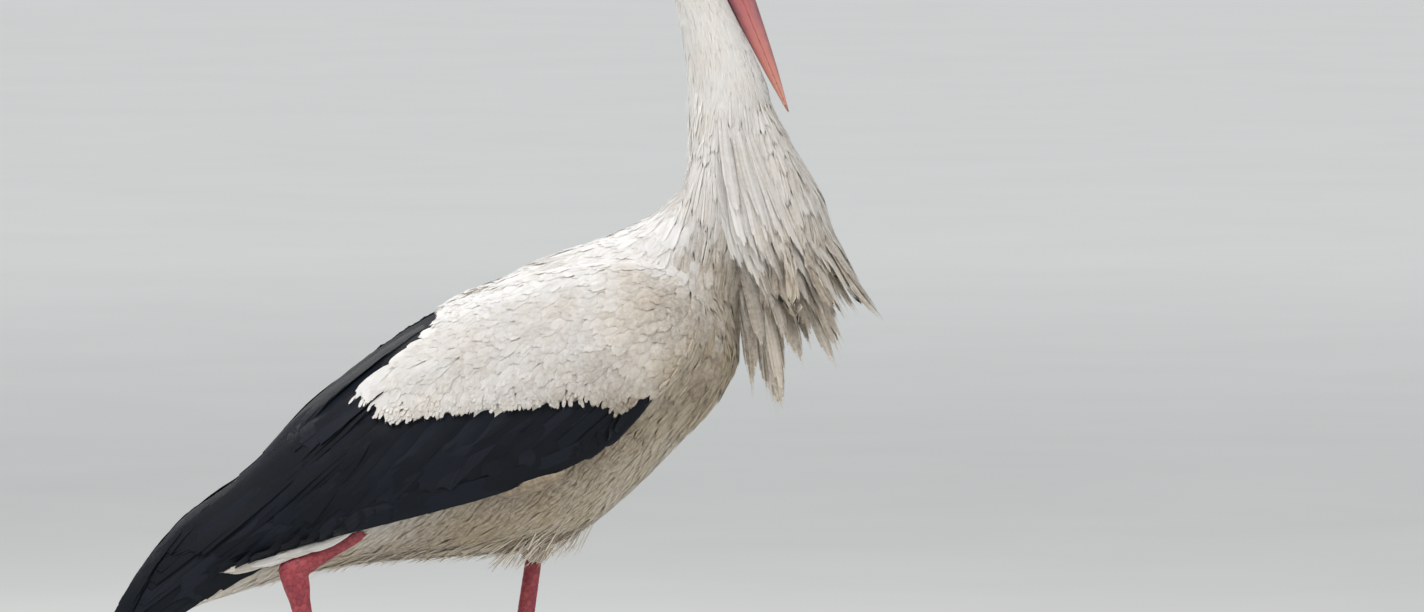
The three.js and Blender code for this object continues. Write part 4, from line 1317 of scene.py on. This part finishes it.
# %% Tail feathers
TAIL_ROOT, TAIL_TIP = (-232, 8), (-401, -1)
TAIL_FEATHERS = 12
draw = np.random.default_rng(7)
lines, outs = [], []
for i in range(TAIL_FEATHERS):
    share = 2 * i / (TAIL_FEATHERS - 1) - 1
    steps = np.linspace(0, 1, 12)[:, None]
    height = TAIL_ROOT[1] + (TAIL_TIP[1] - TAIL_ROOT[1]) * steps + 1.8 - 3.4 * abs(share)
    along = TAIL_ROOT[0] + (TAIL_TIP[0] + 5 * share * share - TAIL_ROOT[0]) * steps
    side = share * (15 - 10 * steps)
    lines.append(on_body(along, side, height))
    outs.append(np.broadcast_to(unit(UPRIGHT + 0.35 * share * LEFT), lines[-1].shape))
lines, outs = np.array(lines), np.array(outs)
marks = markings(lines[:, 4], soil=0.3, streak=0.2)
coat("tail_feathers", [(lines, outs, 8.5, STRAPS, marks, draw)], ["tail"])

# %% [markdown]
# ## The bill
# A stork's bill is a straight dagger of horn in two halves that close tightly. Each half starts as a copy
# of its node, runs on a little way into the face and is rounded, and the upper one gets the groove that
# runs forward from the slit nostril.

# %% Model the bill
BILL_LENGTH = float(np.max((vertices_of(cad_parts["bill_upper"]) - BILL_ROOT) @ BILL_AXIS)) / MM
print("the bill is", round(BILL_LENGTH), "mm long")
INTO_FACE = 9  # how far each half runs on into the face
NOSTRIL, GROOVE_UP = 24, 6.0  # where the nostril's slit lies along the bill, and how high


def bill_half(name, node):
    piece = merged_copy(name, node)
    places = vertices_of(piece)
    root = head_places(places)[0] > -1
    places[root] -= BILL_AXIS * INTO_FACE * MM
    place_vertices(piece, places)
    rounded_form(piece, 0.6, 5)
    places = vertices_of(piece)
    back, side, up = head_places(places)
    slit = np.zeros(len(places))
    if node == "bill_upper":
        along = -back
        slit = np.exp(-((along - NOSTRIL) / 8) ** 2 - ((up - GROOVE_UP + 0.02 * along) / 0.9) ** 2)
        groove = 0.4 * ease(along, 14, 24) * ease(-along, -86, -40)
        groove *= np.exp(-((up - GROOVE_UP + 0.03 * along) / 1.1) ** 2)
        inward = np.sign(side) * (1.3 * slit + groove) * (np.abs(side) > 1)
        place_vertices(piece, places - inward[:, None] * LEFT * MM)
        slit = np.clip(1.2 * slit + 0.5 * groove, 0, 1)
    else:
        place_vertices(piece, places + CROWN_AXIS * 0.4 * MM * ease(up, -1.6, 0)[:, None])
    mark(piece, slit=slit)
    bpy.ops.object.shade_smooth()
    return piece


# %% [markdown]
# The horn is coral red, deeper at the root and paler to the tip, and mottled dusky along its upper ridge.
# Near the root its lower side is darkened to the same dusky purple-grey as painted shade, where it turns from
# the light.

# %% Bill horn
def along_axis(finish, axis):
    """How far a place lies along an axis from the bill's root, in metres, as a node."""
    away = finish.maths("SUBTRACT", finish.place, tuple(BILL_ROOT), kind="VectorMath")
    return finish.maths("DOT_PRODUCT", away, tuple(axis), kind="VectorMath", output="Value")


finish = Finish("bill_horn")
reach, rise = along_axis(finish, BILL_AXIS), along_axis(finish, CROWN_AXIS)
cloud = finish.noise(finish.place, 90.0, 4.0, 0.65)
share = finish.ranged(reach, From_Min=0.0, From_Max=BILL_LENGTH * MM)
red = finish.ramp(share, (0.0, paint("94474a")), (0.35, paint("a65c5e")), (0.75, paint("b5746a")),
                  (0.95, paint("bc8776")), (1.0, paint("7d5348")))
ridge = finish.ranged(rise, From_Min=0.002, From_Max=0.009)
# Painted shade: the bill's underside near the root, turned away from the light, is darkened.
underside_shade = finish.ranged(rise, From_Min=-0.002, From_Max=-0.009)
underside_shade = finish.maths("MULTIPLY", underside_shade, finish.ranged(share, From_Min=0.75, From_Max=0.45))
mottle = finish.maths("MULTIPLY_ADD", cloud, 0.9, -0.22)
dark_ridge_and_underside_shade = finish.maths("MULTIPLY", finish.maths("MAXIMUM", ridge, underside_shade), mottle, clamp=True)
dark_ridge_and_underside_shade = finish.maths("MULTIPLY", dark_ridge_and_underside_shade, 2.2, clamp=True)
horn = finish.mix(dark_ridge_and_underside_shade, red, paint("5e4453"))
# Painted shade: the nostril's slit and the groove before it are darkened as the shade inside them.
horn = finish.mix(finish.stored("slit"), horn, paint("3a1a1c"))
GRAIN_SCALE = (60.0, 420.0, 420.0)  # drawn out along the bill
grain_map = finish.add("Mapping", Vector=finish.place, Rotation=(0.0, BILL_PITCH, 0.0), Scale=GRAIN_SCALE)
grain = finish.noise(grain_map.outputs[0], 1.0, 5.0, 0.6)
finish.put(Base_Color=horn, Roughness=finish.ranged(grain, To_Min=0.32, To_Max=0.58))
finish.bump(grain, 0.35, 0.0004)
for half in ("upper", "lower"):
    dress(bill_half(f"bill_horn_{half}", f"bill_{half}"), finish.material, "bill", f"bill_{half}")

# %% [markdown]
# ## Eyes and bare face
# The eye is a ball with a slightly raised cornea. Round it lies bare black skin: a sheet of rings from the
# rim of the lids out to the edge of the feathers, folded in low ridges, and drawn out forward to a point.

# %% Eyeballs
EYE_RADIUS = float(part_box("eye_left")[1].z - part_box("eye_left")[0].z) / 2
PUPIL_ANGLE = math.radians(21)
CORNEA = 0.07  # how far the cornea stands out, as a share of the radius


def eye_out(side):
    """Eyes look to the side and a little forward and down the bill."""
    return unit(TURN[side] * LEFT + 0.16 * BILL_AXIS + 0.05 * CROWN_AXIS)


finish = Finish("eye_gloss")
aside = finish.add("SeparateXYZ", Vector=finish.place).outputs["Y"]
rim = abs(float(EYE_MIDDLES["left"][1])) + EYE_RADIUS * math.cos(PUPIL_ANGLE)
pupil = finish.ranged(finish.maths("ABSOLUTE", aside), From_Min=rim - 0.0001, From_Max=rim + 0.00015)
iris = finish.ramp(finish.noise(finish.place, 900.0, 2.0), (0.3, paint("22160f")), (0.7, paint("3d2a1f")))
finish.put(Base_Color=finish.mix(pupil, iris, paint("060505")), Roughness=0.05)
for side in TURN:
    bpy.ops.object.select_all(action="DESELECT")
    bpy.ops.mesh.primitive_uv_sphere_add(segments=40, ring_count=28, radius=EYE_RADIUS)
    ball = bpy.context.view_layer.objects.active
    ball.name = f"eyeball_{side}"
    places = vertices_of(ball)
    front = unit(places) @ eye_out(side)
    places *= (1 + CORNEA * ease(front, 0.8, 1.0))[:, None]
    place_vertices(ball, places + EYE_MIDDLES[side])
    bpy.ops.object.shade_smooth()
    dress(ball, finish.material, "eye", f"eye_{side}")

# %% Bare skin round the eyes
head_points = vertices_of(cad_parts["head"])
head_back, head_side, head_up = head_places(head_points)
LEVEL_STEP = 6.0
head_levels = np.arange(2, 78, LEVEL_STEP)
head_half = [np.abs(head_side[np.abs(head_back - level) < LEVEL_STEP]).max() for level in head_levels]
head_crown = [head_up[np.abs(head_back - level) < LEVEL_STEP].max() for level in head_levels]


def head_surface(back, up, turn):
    half = np.interp(back, head_levels, head_half)
    crown = np.interp(back, head_levels, head_crown)
    side = half * np.sqrt(np.clip(1 - (up / (crown * 1.02)) ** 2, 0.02, 1))
    away = -back[:, None] * BILL_AXIS + turn * side[:, None] * LEFT + up[:, None] * CROWN_AXIS
    return BILL_ROOT + MM * away


RINGS, SPOKES = 16, 64
EYE_OPENING = 5.6
PATCH_MARGIN = 0.1  # how far the sheet runs on under the hairs


def bare_skin(side):
    turn = TURN[side]
    eye_back, _, eye_up = head_places(EYE_MIDDLES[side])
    angle = np.arange(SPOKES) * 2 * math.pi / SPOKES
    outer = patch_reach(angle) + PATCH_MARGIN
    look, middle = eye_out(side), EYE_MIDDLES[side]
    places = []
    for ring in range(RINGS):
        share = ring / (RINGS - 1)
        reach = EYE_OPENING + (outer - EYE_OPENING) * share
        back, up = eye_back + reach * np.cos(angle), eye_up + reach * np.sin(angle) * 0.94
        spot = head_surface(back, up, turn) - turn * LEFT * 0.2 * MM
        laid, outward, _, _ = body.touch(spot)
        sunk = outward * (0.15 + 0.5 * ease(share, 0.9, 1)) * MM
        spot += (laid - sunk - spot) * ease(reach, 9, 12)[:, None]
        away = spot - middle
        ball = middle + unit(away) * (EYE_RADIUS + (0.35 + 0.5 * (1 - share)) * MM)
        lid = 1 - ease(np.full(SPOKES, share), 0.1, 0.55)
        inside = np.linalg.norm(away, axis=1) < EYE_RADIUS + 0.6 * MM
        blend = np.where(inside, 1.0, lid)[:, None]
        fold = 0.22 * math.sin(ring * 2.1) * (1 - share) * MM
        places.append(spot * (1 - blend) + ball * blend + look * fold)
    mesh = bpy.data.meshes.new(f"bare_face_{side}")
    faces = []
    for row in range(0, (RINGS - 1) * SPOKES, SPOKES):
        for i in range(SPOKES):
            after = (i + 1) % SPOKES
            faces.append((row + i, row + after, row + SPOKES + after, row + SPOKES + i))
    mesh.from_pydata(np.vstack(places).tolist(), [], faces)
    piece = bpy.data.objects.new(f"bare_face_{side}", mesh)
    bpy.context.scene.collection.objects.link(piece)
    only(piece)
    bpy.ops.object.mode_set(mode="EDIT")
    bpy.ops.mesh.select_all(action="SELECT")
    bpy.ops.mesh.normals_make_consistent(inside=False)
    bpy.ops.object.mode_set(mode="OBJECT")
    if sum(p.normal @ Vector(look) for p in piece.data.polygons) < 0:
        piece.data.flip_normals()
    wall = piece.modifiers.new("wall", "SOLIDIFY")
    wall.thickness = 0.9 * MM
    wall.offset = -1
    smooth = piece.modifiers.new("smooth", "SUBSURF")
    smooth.levels = smooth.render_levels = 1
    apply_all(piece)
    bpy.ops.object.shade_smooth()
    return piece


finish = Finish("bare_skin")
wrinkle = finish.add("TexVoronoi", {"feature": "DISTANCE_TO_EDGE"}, Vector=finish.place, Scale=900.0)
cloud = finish.noise(finish.place, 300.0, 3.0)
finish.put(Base_Color=finish.ramp(cloud, (0.3, paint("17130f")), (0.75, paint("2e2523"))), Roughness=0.55)
finish.bump(wrinkle.outputs["Distance"], 0.5, 0.0003)
for side in TURN:
    dress(bare_skin(side), finish.material, "eye")

# %% [markdown]
# ## Legs
# The leg's nodes are melted into one piece. Its skin is a net of small raised scales, so points are strewn
# over it as scale middles, and every vertex is lifted by how much nearer it is to its own scale than to the
# next one.

# %% Legs and feet
SCALE_HEIGHT = 0.42


def scale_spacing(points):
    """The scales are finest on the toes."""
    return 2.5 + 1.1 * ease(points[:, 2], 0.03, 0.12)


def scaly_leg(side, nodes):
    piece = rounded_form(merged_copy(f"leg_skin_{side}", *nodes), 1.05, 8)
    form = Form(piece, lambda places, out: DOWN + np.zeros_like(places), 0)
    middles = scattered(form, scale_spacing, lambda points, out: np.ones(len(points), bool), 401)
    tree = KDTree(len(middles))
    for i, middle in enumerate(middles):
        tree.insert(middle, i)
    tree.balance()
    first, second = np.array([[hit[2] for hit in tree.find_n(p, 2)] for p in form.places.tolist()]).T
    dome = ease((second - first) / MM, 0.05, 0.9)
    tone = np.random.default_rng(402).random(len(middles))
    owner = np.array([tree.find(p)[1] for p in form.places.tolist()])
    place_vertices(piece, form.places + form.out * ((dome - 0.8) * SCALE_HEIGHT * MM)[:, None])
    mark(piece, groove=1 - dome, tone=tone[owner])
    return piece


finish = Finish("leg_scales")
cloud = finish.noise(finish.place, 22.0, 4.0, 0.6)
fine = finish.noise(finish.place, 700.0, 3.0)
mixed = finish.maths("MULTIPLY_ADD", finish.stored("tone"), 0.35, cloud)
# Painted shadow: the legs' crimson is darkened part way to the tone they have in the shadow under the body.
crimson_half_shadowed = finish.ramp(mixed, (0.35, paint("742530")), (0.65, paint("8b2f3a")), (0.95, paint("a04448")))
# Painted shade: the grooves between the scales are darkened as the shade in them.
sunk = finish.maths("MULTIPLY", finish.stored("groove"), 0.65)
finish.put(Base_Color=finish.mix(sunk, crimson_half_shadowed, paint("48131b")),
           Roughness=finish.ranged(fine, To_Min=0.42, To_Max=0.66))
finish.bump(fine, 0.3, 0.0002)
for side in TURN:
    nodes = [f"leg_{side}_shank", f"leg_{side}_tarsus", f"foot_{side}"]
    dress(scaly_leg(side, nodes), finish.material, "leg_skin", *nodes)

# %% [markdown]
# ## Claws
# Short blunt claws of dark horn, streaked paler.

# %% Claws
finish = Finish("claw_horn")
streaks = finish.noise(finish.place, 420.0, 4.0)
finish.put(Base_Color=finish.ramp(streaks, (0.3, paint("241c1a")), (0.75, paint("4a3c36"))), Roughness=0.42)
finish.bump(streaks, 0.3, 0.0002)
for side in TURN:
    nodes = [f"claw_{side}_{toe}" for toe in ("inner", "middle", "outer", "hind")]
    dress(rounded_form(merged_copy(f"claws_{side}", *nodes), 0.45, 6), finish.material, "claw", *nodes)

# %% [markdown]
# ## Floor, light and camera

# %% Stage
bpy.ops.object.select_all(action="DESELECT")
bpy.ops.mesh.primitive_plane_add(size=90, location=(0, 0, 0))
floor = bpy.context.view_layer.objects.active
floor.name = "floor"
FLOOR_GREY = paint("d6d7d4")
finish = Finish("floor_paint")
speck = finish.noise(finish.place, 3.0, 3.0)
# Far off, where the lamps no longer reach, the floor is lifted to the same pale level, for the camera alone.
away = finish.maths("LENGTH", finish.place, kind="VectorMath", output="Value")
lifted = finish.ranged(away, From_Min=2.0, From_Max=9.0, To_Min=0.0, To_Max=0.36)
seen = finish.add("LightPath").outputs["Is Camera Ray"]
finish.put(Base_Color=finish.ramp(speck, (0.3, FLOOR_GREY), (0.7, paint("dadbd8"))), Roughness=0.9,
           Emission_Color=FLOOR_GREY, Emission_Strength=finish.maths("MULTIPLY", lifted, seen))
floor.data.materials.append(finish.material)

world = bpy.data.worlds.new("studio")
bpy.context.scene.world = world
world.use_nodes = True
sky = world.node_tree.nodes["Background"].inputs
sky["Color"].default_value = (0.93, 0.96, 1.0, 1)
sky["Strength"].default_value = 0.55


def lamp(name, place, aim, size, watts):
    bpy.ops.object.light_add(type="AREA", location=place)
    light = bpy.context.view_layer.objects.active
    light.name = name
    light.rotation_euler = (Vector(aim) - Vector(place)).to_track_quat("-Z", "Y").to_euler()
    light.data.size = size
    light.data.energy = watts
    light.data.color = (1.0, 0.98, 0.95)


MIDDLE = (0.0, 0.0, 0.55)
lamp("key", (-1.3, -1.9, 3.2), MIDDLE, 2.0, 104)
lamp("rim", (-1.2, 2.2, 2.6), MIDDLE, 1.4, 40)
lamp("fill", (2.2, -1.8, 1.8), (0.2, 0.0, 0.65), 1.6, 30)

VIEW_WIDTH = 1.196
AIM = Vector((0.1629, 0, 0.5557))
DISTANCE = 12.0
ELEVATION = math.radians(4)
SENSOR = 36
place = AIM + DISTANCE * Vector((0, -math.cos(ELEVATION), math.sin(ELEVATION)))
bpy.ops.object.camera_add(location=place, rotation=(math.pi / 2 - ELEVATION, 0, 0))
camera = bpy.context.view_layer.objects.active
camera.data.sensor_width = SENSOR
camera.data.lens = SENSOR * DISTANCE / VIEW_WIDTH
camera.data.clip_end = 200
bpy.context.scene.camera = camera
bpy.context.scene.view_settings.view_transform = "Standard"

# %% [markdown]
# ## Clear up

# %% Finish
for piece in [body.piece, whole.piece, ruff_form.piece, *(w.piece for w in wings.values())]:
    bpy.data.objects.remove(piece)
